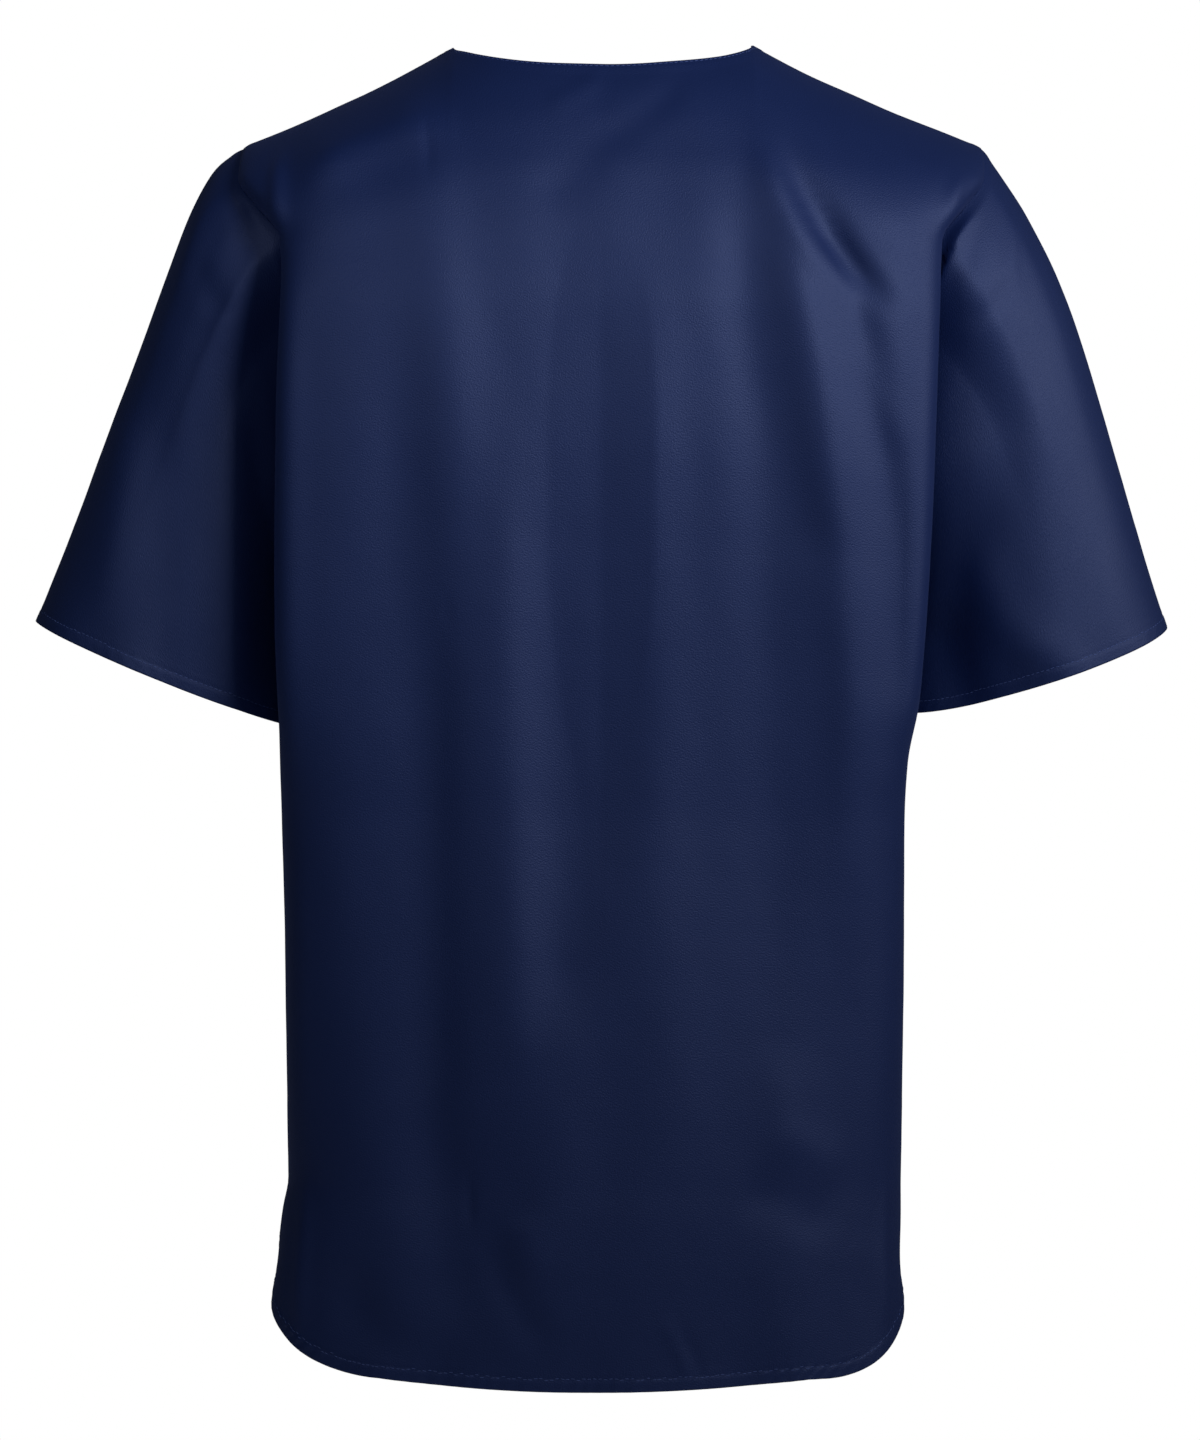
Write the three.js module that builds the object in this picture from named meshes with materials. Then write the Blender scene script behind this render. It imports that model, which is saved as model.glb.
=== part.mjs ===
// A short-sleeved medical scrub top, filled out as it is worn, with nobody inside it.
//
// It is cut from four pieces of thin satin-faced twill: a back, a front with a V neck, and two set-in
// sleeves. Each piece is one closed wall, hollow inside the garment, and open at the neck, the hem and
// the cuffs. The side seams stop above the hem, so each side has a vent with rounded corners.
//
// Millimetres. +X is the wearer's left, +Y points out of the back, +Z is up. The origin lies midway
// between the two neck ends of the shoulder seams, where the wearer's shoulders carry the cloth.
import * as THREE from "three";

const { clamp, lerp, smoothstep } = THREE.MathUtils;

// Cloth.
const WALL = 1.6;
const HEM_WALL = 2.3;
const HEM_DEPTH = 8;
const SEAM_GAP = 0.36;

// Shoulders and neck.
const SHOULDER_TIP_Z = -57.5;
const NECK_POINT_Z = 0.8;
const NECK_HALF = { right: 87, left: 84.5 };
const SHOULDER_SAG = { right: 2.8, left: 3.2 };
const BACK_NECK_DROP = 17;
const FRONT_NECK_DROP = 151;
const NECK_RISE = 18; // how much higher the shoulder's own line would be at the spine
const ROUND_AT_NECK = 105; // height over which the cloth turns from the seam to the upright panel
const ROUND_AT_TIP = 72;

// Armholes, side vents and hem.
const UNDERARM_Z = -300;
const VENT_TOP_Z = -645;
const FRONT_PART = 0.5; // how far the front parts at the vent, against the back
const HEM_Z = -758.5;
const HEM_LIFT = { right: 5.8, left: 6.4 }; // how much higher the hem is cut where its corners start
const HEM_LIFT_AT = 145;
const CORNER_WIDE = { right: 80, left: 108 };
const CORNER_HIGH = 62;
const UNDERARM_ROUND = 90; // height over which the foot of the armhole opens out

// The body, level by level. right and left are the half widths to the outermost fold, back and front the
// depths at the middle, turn the depth at which the outermost fold faces sideways, and square the exponent
// of the oval between the two, which is a sharp fold where it is large. scoop narrows the front.
const BODY = [
  { z: 20, right: 219, left: 206, scoop: 0, back: 72, front: 80, turn: 44, square: 3.2 },
  { z: -58.5, right: 218.5, left: 205.5, scoop: 0, back: 94, front: 106, turn: 52, square: 3.2 },
  { z: -78, right: 217, left: 205.5, scoop: 2, back: 101, front: 112, turn: 55, square: 3.3 },
  { z: -95, right: 206, left: 194.5, scoop: 4, back: 105, front: 117, turn: 58, square: 3.6 },
  { z: -115, right: 192, left: 180, scoop: 6, back: 109, front: 121, turn: 60, square: 4.4 },
  { z: -160, right: 190, left: 179, scoop: 7, back: 115, front: 128, turn: 62, square: 5.6 },
  { z: -220, right: 187.5, left: 180, scoop: 6, back: 116, front: 132, turn: 62, square: 6 },
  { z: -300, right: 184, left: 181.5, scoop: 4, back: 113, front: 131, turn: 60, square: 6 },
  { z: -375, right: 179, left: 181, scoop: 3, back: 110, front: 127, turn: 56, square: 5.2 },
  { z: -410, right: 173, left: 180.8, scoop: 2, back: 109, front: 126, turn: 48, square: 4.4 },
  { z: -445, right: 171.5, left: 180.4, scoop: 1, back: 108, front: 125, turn: 40, square: 3.8 },
  { z: -520, right: 171.3, left: 179, scoop: 0, back: 109, front: 125, turn: 34, square: 3.2 },
  { z: -645, right: 170.2, left: 177.4, scoop: 0, back: 113, front: 127, turn: 33, square: 2.6 },
  { z: -662, right: 170, left: 180.4, scoop: 0, back: 114, front: 127, turn: 36, square: 2.5 },
  { z: -685, right: 169.8, left: 183.2, scoop: 0, back: 115, front: 128, turn: 42, square: 2.4 },
  { z: -715, right: 169.6, left: 185, scoop: 0, back: 116, front: 129, turn: 51, square: 2.2 },
  { z: -770, right: 169.6, left: 185, scoop: 0, back: 118, front: 130, turn: 64, square: 2 },
];

// The body's side edges. From its outermost fold the cloth runs in by tuck to the seam, whose depth is
// curl of turn. part opens the two panels from each other along the vent.
const SIDES = [
  { z: 20, tuckRight: 0, tuckLeft: 0, curl: 1, part: 0 },
  { z: -95, tuckRight: 0, tuckLeft: 0, curl: 1, part: 0 },
  { z: -115, tuckRight: 0, tuckLeft: 0, curl: 1, part: 0 },
  { z: -160, tuckRight: 12, tuckLeft: 10, curl: 0.62, part: 0 },
  { z: -220, tuckRight: 19, tuckLeft: 15, curl: 0.45, part: 0 },
  { z: -300, tuckRight: 17, tuckLeft: 15, curl: 0.4, part: 0 },
  { z: -375, tuckRight: 13, tuckLeft: 13, curl: 0.4, part: 0 },
  { z: -410, tuckRight: 8, tuckLeft: 9, curl: 0, part: 0 },
  { z: -445, tuckRight: 3, tuckLeft: 5, curl: 0, part: 0 },
  { z: -520, tuckRight: 1, tuckLeft: 1, curl: 0, part: 0 },
  { z: -645, tuckRight: 0, tuckLeft: 0, curl: 0, part: 0 },
  { z: -662, tuckRight: 0, tuckLeft: 0, curl: 0, part: 11 },
  { z: -685, tuckRight: 0, tuckLeft: 0, curl: 0, part: 27 },
  { z: -715, tuckRight: 0, tuckLeft: 0, curl: 0, part: 45 },
  { z: -770, tuckRight: 0, tuckLeft: 0, curl: 0, part: 60 },
];

// The broad soft folds that hang in each panel. Each runs from its top (x1, z1) to its bottom (x2, z2),
// bows sideways by bow, and stands out by height, or in where that is negative.
const FOLDS = {
  back: [
    { x1: 96, z1: -48, x2: 50, z2: -700, bow: 0, wide: 24, height: 3.6 },
    { x1: 112, z1: -150, x2: 104, z2: -690, bow: 0, wide: 26, height: -3 },
    { x1: 14, z1: -90, x2: 2, z2: -560, bow: 4, wide: 24, height: -2.4 },
    { x1: -30, z1: -90, x2: -62, z2: -740, bow: 16, wide: 22, height: 3 },
    { x1: -74, z1: -60, x2: -100, z2: -610, bow: -6, wide: 20, height: -3.2 },
    { x1: -88, z1: -48, x2: -136, z2: -560, bow: -22, wide: 17, height: 4 },
    { x1: -112, z1: -62, x2: -160, z2: -430, bow: -22, wide: 13, height: -4 },
    { x1: 20, z1: -520, x2: 34, z2: -770, bow: 0, wide: 26, height: 3 },
    { x1: -104, z1: -560, x2: -108, z2: -770, bow: 0, wide: 22, height: 2.4 },
  ],
  front: [
    { x1: 84, z1: -70, x2: 66, z2: -720, bow: 0, wide: 24, height: 3.4 },
    { x1: 118, z1: -140, x2: 108, z2: -640, bow: 0, wide: 20, height: -3 },
    { x1: 24, z1: -190, x2: 26, z2: -690, bow: 5, wide: 24, height: -2.8 },
    { x1: -22, z1: -200, x2: -28, z2: -760, bow: -6, wide: 22, height: 2.6 },
    { x1: -78, z1: -70, x2: -72, z2: -600, bow: 0, wide: 22, height: -3 },
    { x1: -116, z1: -110, x2: -112, z2: -700, bow: 6, wide: 20, height: 3.4 },
  ],
};

// The sleeves, from the armhole to the cuff along t. crown is the top line, under the seam below it, and
// back and front how far the tube stands out to each side of the two.
const SLEEVE = {
  right: [
    { t: 0, crownX: 218.5, crownZ: -57.5, underX: 167, underZ: -300, back: 50, front: 52 },
    { t: 0.05, crownX: 230.5, crownZ: -75, underX: 174.5, underZ: -303, back: 54, front: 55 },
    { t: 0.12, crownX: 245, crownZ: -98, underX: 178.5, underZ: -310, back: 57, front: 57 },
    { t: 0.25, crownX: 262, crownZ: -132, underX: 180, underZ: -321, back: 57, front: 57 },
    { t: 0.45, crownX: 282.3, crownZ: -190, underX: 179, underZ: -337, back: 57, front: 58 },
    { t: 0.7, crownX: 301.5, crownZ: -256, underX: 177, underZ: -358, back: 57, front: 59 },
    { t: 1, crownX: 324, crownZ: -332.5, underX: 174, underZ: -379.5, back: 56, front: 60 },
  ],
  left: [
    { t: 0, crownX: 205.5, crownZ: -57.5, underX: 166.5, underZ: -300, back: 50, front: 52 },
    { t: 0.05, crownX: 221, crownZ: -69.5, underX: 173.5, underZ: -303, back: 53, front: 55 },
    { t: 0.12, crownX: 234, crownZ: -92, underX: 177.5, underZ: -310, back: 55, front: 57 },
    { t: 0.25, crownX: 248, crownZ: -128, underX: 179.5, underZ: -322, back: 54, front: 57 },
    { t: 0.45, crownX: 270, crownZ: -187, underX: 179, underZ: -339, back: 55, front: 58 },
    { t: 0.7, crownX: 297, crownZ: -259, underX: 177.5, underZ: -363, back: 56, front: 59 },
    { t: 1, crownX: 323.5, crownZ: -329, underX: 174.5, underZ: -389, back: 56, front: 60 },
  ],
};
const CUFF_DROOP = { right: 10.5, left: 5 }; // how much lower the back of the cuff hangs than its chord
const SLEEVE_SETTLE = 2.6; // how fast the sleeve leaves the armhole's own shape
const SLACK = { right: 0.5, left: 0.9 }; // share of the back's depth that is left low down near the cuff
const SLACK_REACH = 0.66; // how far up the sleeve's width the slack cloth reaches

// How finely the walls are divided.
const SHOULDER_COLUMNS = 13;
const NECK_COLUMNS = 7;
const SIDE_ROWS = 9;
const VENT_SHARES = [1, 0.68, 0.36, 0];
const ARMHOLE_STEPS = 14;
const SLEEVE_SHARES = [0, 0.04, 0.1, 0.18, 0.28, 0.4, 0.53, 0.67, 0.81, 0.93, 1];
const FINE_STEPS = 360;

const PANELS = {
  back: { name: "back", out: 1, fanZ: -115 },
  front: { name: "front", out: -1, fanZ: -166 },
};

// The value of one column of a table at a place between its rows, on a smooth curve through them.
function read(table, by, at, column) {
  const last = table.length - 1;
  const rising = table[last][by] > table[0][by];
  let i = 0;
  while (i < last - 1 && (rising ? at > table[i + 1][by] : at < table[i + 1][by])) i += 1;
  const slope = (k) => (table[k + 1][column] - table[k][column]) / (table[k + 1][by] - table[k][by]);
  const step = table[i + 1][by] - table[i][by];
  const blend = (a, b) => (a * b > 0 ? (2 * a * b) / (a + b) : 0);
  const startSlope = i > 0 ? blend(slope(i - 1), slope(i)) : slope(i);
  const endSlope = i < last - 1 ? blend(slope(i), slope(i + 1)) : slope(i);
  const s = clamp((at - table[i][by]) / step, 0, 1);
  const level = lerp(table[i][column], table[i + 1][column], s * s * (3 - 2 * s));
  return level + step * (startSlope * s * (1 - s) ** 2 - endSlope * s * s * (1 - s));
}

const sideOf = (x) => (x < 0 ? "right" : "left");
const tipX = (side) => SLEEVE[side][0].crownX;

// Height of the shoulder's top line at x. Inside the neck it is where that line would carry on.
function shoulderZ(x) {
  const side = sideOf(x);
  const reach = Math.abs(x);
  const neck = NECK_HALF[side];
  if (reach < neck) return NECK_POINT_Z + NECK_RISE * (1 - (reach / neck) ** 2);
  const s = clamp((reach - neck) / (tipX(side) - neck), 0, 1);
  return lerp(NECK_POINT_Z, SHOULDER_TIP_Z, s) - SHOULDER_SAG[side] * Math.sin(Math.PI * s ** 0.8);
}

// Height of a panel's top edge at x: its neckline in the middle, its shoulder seams on each side.
function topEdgeZ(panel, x) {
  const share = Math.abs(x) / NECK_HALF[sideOf(x)];
  if (share >= 1) return shoulderZ(x);
  if (panel.name === "back") return NECK_POINT_Z - BACK_NECK_DROP * Math.sqrt(1 - share * share);
  return NECK_POINT_Z - FRONT_NECK_DROP * (1 - share) ** 1.04;
}

// Half width of a panel at a level, out to its outermost fold.
function halfWidth(panel, side, z) {
  const scoop = panel.name === "front" ? read(BODY, "z", z, "scoop") : 0;
  return read(BODY, "z", z, side) - scoop;
}

// How far the cloth has come round from the shoulder seam to its full depth: 0 at the seam, 1 below.
function roundOver(x, z) {
  const below = shoulderZ(x) - z;
  const over = lerp(ROUND_AT_NECK, ROUND_AT_TIP, Math.abs(x) / tipX(sideOf(x)));
  const t = clamp(below / over, 0, 1);
  return Math.sqrt(1 - (1 - t) ** 2);
}

// How far the folds lift a panel's cloth at x, z.
function foldHeight(panel, x, z) {
  let height = 0;
  for (const fold of FOLDS[panel.name]) {
    const s = (fold.z1 - z) / (fold.z1 - fold.z2);
    if (s <= 0 || s >= 1) continue;
    const middle = lerp(fold.x1, fold.x2, s) + fold.bow * Math.sin(Math.PI * s);
    const fade = smoothstep(s, 0, 0.22) * (1 - smoothstep(s, 0.75, 1));
    const off = (x - middle) / (fold.wide * lerp(0.75, 1.15, s));
    height += fold.height * fade * Math.exp(-off * off);
  }
  const width = halfWidth(panel, sideOf(x), z);
  const nearEdge = smoothstep(1 - Math.abs(x) / width, 0, 0.1);
  const nearTop = smoothstep(topEdgeZ(panel, x) - z, 0, 30);
  return height * nearEdge * nearTop;
}

// Depth of the outermost fold at a level, where the cloth faces sideways.
function turnDepth(panel, side, z) {
  const sign = side === "right" ? -1 : 1;
  return read(BODY, "z", z, "turn") * roundOver(sign * halfWidth(panel, side, z), z);
}

// The point of a panel's side edge at a level: on its armhole, its side seam or its vent.
function edgePoint(panel, side, z) {
  const sign = side === "right" ? -1 : 1;
  const opened = clamp((z - UNDERARM_Z) / UNDERARM_ROUND, 0, 1);
  const curl = read(SIDES, "z", z, "curl") * Math.sqrt(1 - (1 - opened) ** 2);
  const scooped = read(BODY, "z", z, side) - halfWidth(panel, side, z);
  const tuck = read(SIDES, "z", z, side === "right" ? "tuckRight" : "tuckLeft");
  const x = halfWidth(panel, side, z) - tuck + scooped * (1 - curl);
  const part = read(SIDES, "z", z, "part") * (panel.name === "front" ? FRONT_PART : 1);
  const y = curl * turnDepth(panel, side, z) + part;
  return new THREE.Vector3(sign * x, panel.out * y, z);
}

// One level of a panel as a fine line from its right edge to its left. fan is 0 on a level line and 1 on
// the panel's top edge, and in between the line takes on more and more of that edge's shape.
function levelLine(panel, edgeZ, fan) {
  const line = [];
  const heightAt = (x) => {
    const side = sideOf(x);
    const stretch = tipX(side) / halfWidth(panel, side, edgeZ);
    return fan > 0 ? lerp(panel.fanZ, topEdgeZ(panel, x * stretch), fan) : edgeZ;
  };
  const tuckLine = (side) => {
    const sign = side === "right" ? -1 : 1;
    const edge = edgePoint(panel, side, edgeZ);
    const turnX = sign * halfWidth(panel, side, edgeZ);
    const turn = new THREE.Vector3(turnX, panel.out * turnDepth(panel, side, edgeZ), edgeZ);
    const steps = FINE_STEPS / 12;
    return Array.from({ length: steps }, (_, k) => {
      const s = k / steps;
      const point = edge.clone().lerp(turn, s);
      point.x = lerp(edge.x, turn.x, s * s * (3 - 2 * s));
      return point;
    });
  };
  line.push(...tuckLine("right"));
  const power = 2 / read(BODY, "z", edgeZ, "square");
  for (let k = 0; k <= FINE_STEPS; k += 1) {
    const angle = (Math.PI * k) / FINE_STEPS;
    const side = k < FINE_STEPS / 2 ? "right" : "left";
    const across = Math.abs(Math.cos(angle)) ** power;
    const outward = Math.sin(angle) ** power;
    const x = (side === "right" ? -1 : 1) * across * halfWidth(panel, side, edgeZ);
    const z = heightAt(x);
    const turn = read(BODY, "z", z, "turn");
    const depth = lerp(turn, read(BODY, "z", z, panel.name), outward) * roundOver(x, z);
    line.push(new THREE.Vector3(x, panel.out * (depth + foldHeight(panel, x, z)), z));
  }
  line.push(...tuckLine("left").reverse());
  return line;
}

// Distance along a line of points to each of them.
function lengths(line) {
  const along = [0];
  for (let i = 1; i < line.length; i += 1) along.push(along[i - 1] + line[i].distanceTo(line[i - 1]));
  return along;
}

// The point at a distance along a line.
function pointAt(line, along, distance) {
  let i = 1;
  while (i < line.length - 1 && along[i] < distance) i += 1;
  const span = along[i] - along[i - 1];
  const s = span > 0 ? clamp((distance - along[i - 1]) / span, 0, 1) : 0;
  return line[i - 1].clone().lerp(line[i], s);
}

// Where each column of a panel lies along its lines, as a share of their length. The columns meet the
// neck points and the middle of the neckline on the top edge, and crowd towards the side edges.
function columnShares(panel) {
  const top = levelLine(panel, SHOULDER_TIP_Z, 1);
  const along = lengths(top);
  const total = along[along.length - 1];
  const shareWhere = (x) => {
    const i = top.findIndex((p) => p.x >= x);
    return lerp(along[i - 1], along[i], (x - top[i - 1].x) / (top[i].x - top[i - 1].x)) / total;
  };
  const neckRight = shareWhere(-NECK_HALF.right);
  const middle = shareWhere(0);
  const neckLeft = shareWhere(NECK_HALF.left);
  const shares = [];
  for (let i = 0; i < SHOULDER_COLUMNS; i += 1) shares.push(neckRight * (i / SHOULDER_COLUMNS) ** 1.3);
  for (let i = 0; i < NECK_COLUMNS; i += 1) shares.push(lerp(neckRight, middle, i / NECK_COLUMNS));
  for (let i = 0; i < NECK_COLUMNS; i += 1) shares.push(lerp(middle, neckLeft, i / NECK_COLUMNS));
  for (let i = SHOULDER_COLUMNS; i >= 0; i -= 1) {
    shares.push(1 - (1 - neckLeft) * (i / SHOULDER_COLUMNS) ** 1.3);
  }
  return shares;
}

// Height of the hem at a distance from the panel's side edge, round its corner and across.
function hemZ(fromEdge, x) {
  const cut = HEM_Z + HEM_LIFT[sideOf(x)] * Math.min(Math.abs(x) / HEM_LIFT_AT, 1) ** 2;
  const inside = Math.max(1 - fromEdge / CORNER_WIDE[sideOf(x)], 0);
  return cut + CORNER_HIGH * (1 - Math.sqrt(1 - inside * inside));
}

// A panel's middle surface as rows of points, from the hem up to the shoulders and neck.
function panelGrid(panel) {
  const shares = columnShares(panel);
  const rows = [];
  const sampled = (line) => {
    const along = lengths(line);
    return shares.map((share) => pointAt(line, along, share * along[along.length - 1]));
  };
  const ventLevel = (share, lift) => {
    const ventTop = levelLine(panel, VENT_TOP_Z, 0);
    const along = lengths(ventTop);
    const total = along[along.length - 1];
    return shares.map((part) => {
      const fromEdge = total * Math.min(part, 1 - part);
      const bottom = hemZ(fromEdge, pointAt(ventTop, along, part * total).x) + lift;
      const z = lerp(bottom, VENT_TOP_Z, share);
      const level = levelLine(panel, z, 0);
      const levelAlong = lengths(level);
      return pointAt(level, levelAlong, part * levelAlong[levelAlong.length - 1]);
    });
  };
  rows.push(ventLevel(0, 0), ventLevel(0, HEM_DEPTH));
  for (const share of [...VENT_SHARES].reverse()) rows.push(ventLevel(share, HEM_DEPTH + 2));
  for (let i = 1; i < SIDE_ROWS; i += 1) {
    rows.push(sampled(levelLine(panel, lerp(VENT_TOP_Z, UNDERARM_Z, i / SIDE_ROWS), 0)));
  }
  for (let i = ARMHOLE_STEPS; i >= 0; i -= 1) {
    const z = armholeZ((Math.PI * i) / ARMHOLE_STEPS);
    rows.push(sampled(levelLine(panel, z, Math.max((z - panel.fanZ) / (SHOULDER_TIP_Z - panel.fanZ), 0))));
  }
  return rows;
}

// Height of the armhole at an angle round it, from 0 at the shoulder tip to a half turn at the underarm.
function armholeZ(angle) {
  return lerp(UNDERARM_Z, SHOULDER_TIP_Z, (1 + Math.cos(angle)) / 2);
}

function armholePoint(side, angle) {
  const panel = Math.sin(angle) >= 0 ? PANELS.back : PANELS.front;
  return edgePoint(panel, side, armholeZ(angle));
}

// A point of a sleeve's middle surface, t of the way to the cuff and at an angle round the tube.
function sleevePoint(side, t, angle) {
  const sign = side === "right" ? -1 : 1;
  const oval = (at) => {
    const row = (column) => read(SLEEVE[side], "t", at, column);
    const upward = (1 + Math.cos(angle)) / 2;
    const outward = Math.sin(angle);
    const low = lerp(SLACK[side], 1, smoothstep(upward, 0, SLACK_REACH));
    const back = row("back") * lerp(1, low, smoothstep(at, 0.1, 0.75));
    return new THREE.Vector3(
      sign * lerp(row("underX"), row("crownX"), upward),
      outward * (outward > 0 ? back : row("front")),
      lerp(row("underZ"), row("crownZ"), upward) - CUFF_DROOP[side] * outward * at);
  };
  const settle = (1 - t) ** SLEEVE_SETTLE;
  const point = oval(t);
  return point.add(armholePoint(side, angle).sub(oval(0)).multiplyScalar(settle));
}

// A sleeve's middle surface as rings. Each line along the tube is divided by its own length, so that the
// hem is as deep under the arm as on top of it.
function sleeveGrid(side) {
  const turns = 2 * ARMHOLE_STEPS;
  const lines = Array.from({ length: turns }, (_, k) => {
    const angle = (2 * Math.PI * k) / turns;
    const line = Array.from({ length: FINE_STEPS }, (__, i) => {
      return sleevePoint(side, (i / (FINE_STEPS - 1)) ** 1.3, angle);
    });
    const along = lengths(line);
    const long = along[along.length - 1];
    const places = SLEEVE_SHARES.map((share) => share * (long - HEM_DEPTH - 2));
    places.push(long - HEM_DEPTH, long);
    return places.map((distance) => pointAt(line, along, distance));
  });
  return lines[0].map((_, r) => lines.map((line) => line[r]));
}

// Outward unit normals of a grid of points. A tube's rows close on themselves.
function gridNormals(grid, closed, flip) {
  const rows = grid.length;
  const columns = grid[0].length;
  const wrap = (c) => (closed ? (c + columns) % columns : clamp(c, 0, columns - 1));
  return grid.map((row, r) => row.map((_, c) => {
    const up = grid[Math.min(r + 1, rows - 1)][c].clone().sub(grid[Math.max(r - 1, 0)][c]);
    const across = row[wrap(c + 1)].clone().sub(row[wrap(c - 1)]);
    return up.cross(across).normalize().multiplyScalar(flip);
  }));
}

// Shares one offset direction among the pieces that meet at a seam point, so that their walls end on
// one common mitre, and draws each back from it by half the gap. before and after are the next points
// along the seam.
function mitre(meeting, before, after) {
  const sum = new THREE.Vector3();
  for (const { piece, r, c } of meeting) {
    const share = meeting.length === 3 && piece !== meeting[0].piece ? 0.5 : 1;
    sum.addScaledVector(piece.normals[r][c], share);
  }
  sum.normalize();
  const facing = after.clone().sub(before).cross(sum).normalize();
  for (const { piece, r, c, inR, inC } of meeting) {
    piece.normals[r][c] = sum.clone();
    const inward = piece.grid[inR][inC].clone().sub(piece.grid[r][c]).normalize();
    const slant = Math.max(Math.abs(inward.dot(facing)), 0.3);
    piece.moves.push({ point: piece.grid[r][c], by: inward.multiplyScalar(SEAM_GAP / 2 / slant) });
  }
}

// Joins two skins and their rims into one closed wall.
function wallGeometry({ grid, normals, walls, closed }, flip) {
  const rows = grid.length;
  const columns = grid[0].length;
  const positions = [];
  const index = [];
  for (const side of [1, -1]) {
    grid.forEach((row, r) => row.forEach((point, c) => {
      const skin = point.clone().addScaledVector(normals[r][c], (side * walls[r][c]) / 2);
      positions.push(skin.x, skin.y, skin.z);
    }));
  }
  const id = (skin, r, c) => skin * rows * columns + r * columns + (c % columns);
  const quad = (a, b, c, d) => {
    if (flip > 0) index.push(a, c, b, a, d, c);
    else index.push(a, b, c, a, c, d);
  };
  const lastColumn = closed ? columns : columns - 1;
  for (let r = 0; r < rows - 1; r += 1) {
    for (let c = 0; c < lastColumn; c += 1) {
      quad(id(0, r, c), id(0, r, c + 1), id(0, r + 1, c + 1), id(0, r + 1, c));
      quad(id(1, r, c), id(1, r + 1, c), id(1, r + 1, c + 1), id(1, r, c + 1));
    }
  }
  for (let c = 0; c < lastColumn; c += 1) {
    // A sleeve's rim is split the same way as the panel's rim that it faces.
    const rim = [id(0, 0, c), id(1, 0, c), id(1, 0, c + 1), id(0, 0, c + 1)];
    if (closed && c < columns / 2) rim.push(rim.shift());
    quad(...rim);
    quad(id(0, rows - 1, c), id(0, rows - 1, c + 1), id(1, rows - 1, c + 1), id(1, rows - 1, c));
  }
  if (!closed) {
    for (let r = 0; r < rows - 1; r += 1) {
      quad(id(0, r, 0), id(0, r + 1, 0), id(1, r + 1, 0), id(1, r, 0));
      const end = columns - 1;
      quad(id(0, r, end), id(1, r, end), id(1, r + 1, end), id(0, r + 1, end));
    }
  }
  const geometry = new THREE.BufferGeometry();
  geometry.setAttribute("position", new THREE.Float32BufferAttribute(positions, 3));
  geometry.setIndex(index);
  geometry.computeVertexNormals();
  return geometry;
}

// The wall's thickness at each point of a grid: the cloth's, or a turned hem's near an open edge.
function panelWalls(grid) {
  const hemRows = 2;
  return grid.map((row, r) => {
    const along = lengths(row);
    return row.map((point, c) => {
      const fromEdge = Math.min(along[c], along[along.length - 1] - along[c]);
      const onVent = point.z < VENT_TOP_Z - 1 && fromEdge < HEM_DEPTH;
      return r < hemRows || onVent ? HEM_WALL : WALL;
    });
  });
}

function sleeveWalls(grid) {
  const firstHemRow = grid.length - 2;
  return grid.map((row, r) => row.map(() => (r >= firstHemRow ? HEM_WALL : WALL)));
}

function makePiece(grid, walls, closed, flip) {
  return { grid, walls, closed, flip, normals: gridNormals(grid, closed, flip), moves: [] };
}

const backGrid = panelGrid(PANELS.back);
const frontGrid = panelGrid(PANELS.front);
const back = makePiece(backGrid, panelWalls(backGrid), false, 1);
const front = makePiece(frontGrid, panelWalls(frontGrid), false, -1);
const sleeves = {};
for (const side of ["right", "left"]) {
  const grid = sleeveGrid(side);
  sleeves[side] = makePiece(grid, sleeveWalls(grid), true, side === "right" ? -1 : 1);
}

const topRow = backGrid.length - 1;
const underarmRow = topRow - ARMHOLE_STEPS;
const ventRow = underarmRow - SIDE_ROWS;
const lastColumn = backGrid[0].length - 1;

// Side seams, armholes and shoulder seams.
for (const [side, c, inC] of [["right", 0, 1], ["left", lastColumn, lastColumn - 1]]) {
  for (let r = ventRow; r < underarmRow; r += 1) {
    const meeting = [back, front].map((piece) => ({ piece, r, c, inR: r, inC }));
    mitre(meeting, backGrid[r - 1][c], backGrid[r + 1][c]);
  }
  const ring = sleeves[side].grid[0];
  for (let k = 0; k < ring.length; k += 1) {
    const r = topRow - Math.min(k, 2 * ARMHOLE_STEPS - k);
    const meeting = [{ piece: sleeves[side], r: 0, c: k, inR: 1, inC: k }];
    const place = { r, c, inR: r - (k === 0 ? 1 : 0), inC };
    if (k <= ARMHOLE_STEPS) meeting.push({ piece: back, ...place });
    if (k >= ARMHOLE_STEPS || k === 0) meeting.push({ piece: front, ...place });
    mitre(meeting, ring.at(k - 1), ring[(k + 1) % ring.length]);
  }
}
const topPoints = backGrid[topRow].map((point) => point.clone());
for (let c = 1; c <= SHOULDER_COLUMNS; c += 1) {
  for (const [column, tip, neck] of [
    [c, 0, SHOULDER_COLUMNS], [lastColumn - c, lastColumn, lastColumn - SHOULDER_COLUMNS]]) {
    const place = { r: topRow, c: column, inR: topRow - 1, inC: column };
    const meeting = [{ piece: back, ...place }, { piece: front, ...place }];
    mitre(meeting, topPoints[tip], topPoints[neck]);
  }
}
for (const piece of [back, front, sleeves.right, sleeves.left]) {
  for (const { point, by } of piece.moves) point.add(by);
}

const twill = new THREE.MeshStandardMaterial({ color: 0x1f2b52, roughness: 0.6, metalness: 0 });

function makeMesh(name, piece) {
  const mesh = new THREE.Mesh(wallGeometry(piece, piece.flip), twill.clone());
  mesh.name = name;
  return mesh;
}

const top = new THREE.Group();
top.add(makeMesh("back_panel", back));
top.add(makeMesh("front_panel", front));
top.add(makeMesh("sleeve_right", sleeves.right));
top.add(makeMesh("sleeve_left", sleeves.left));

export default top;
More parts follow.
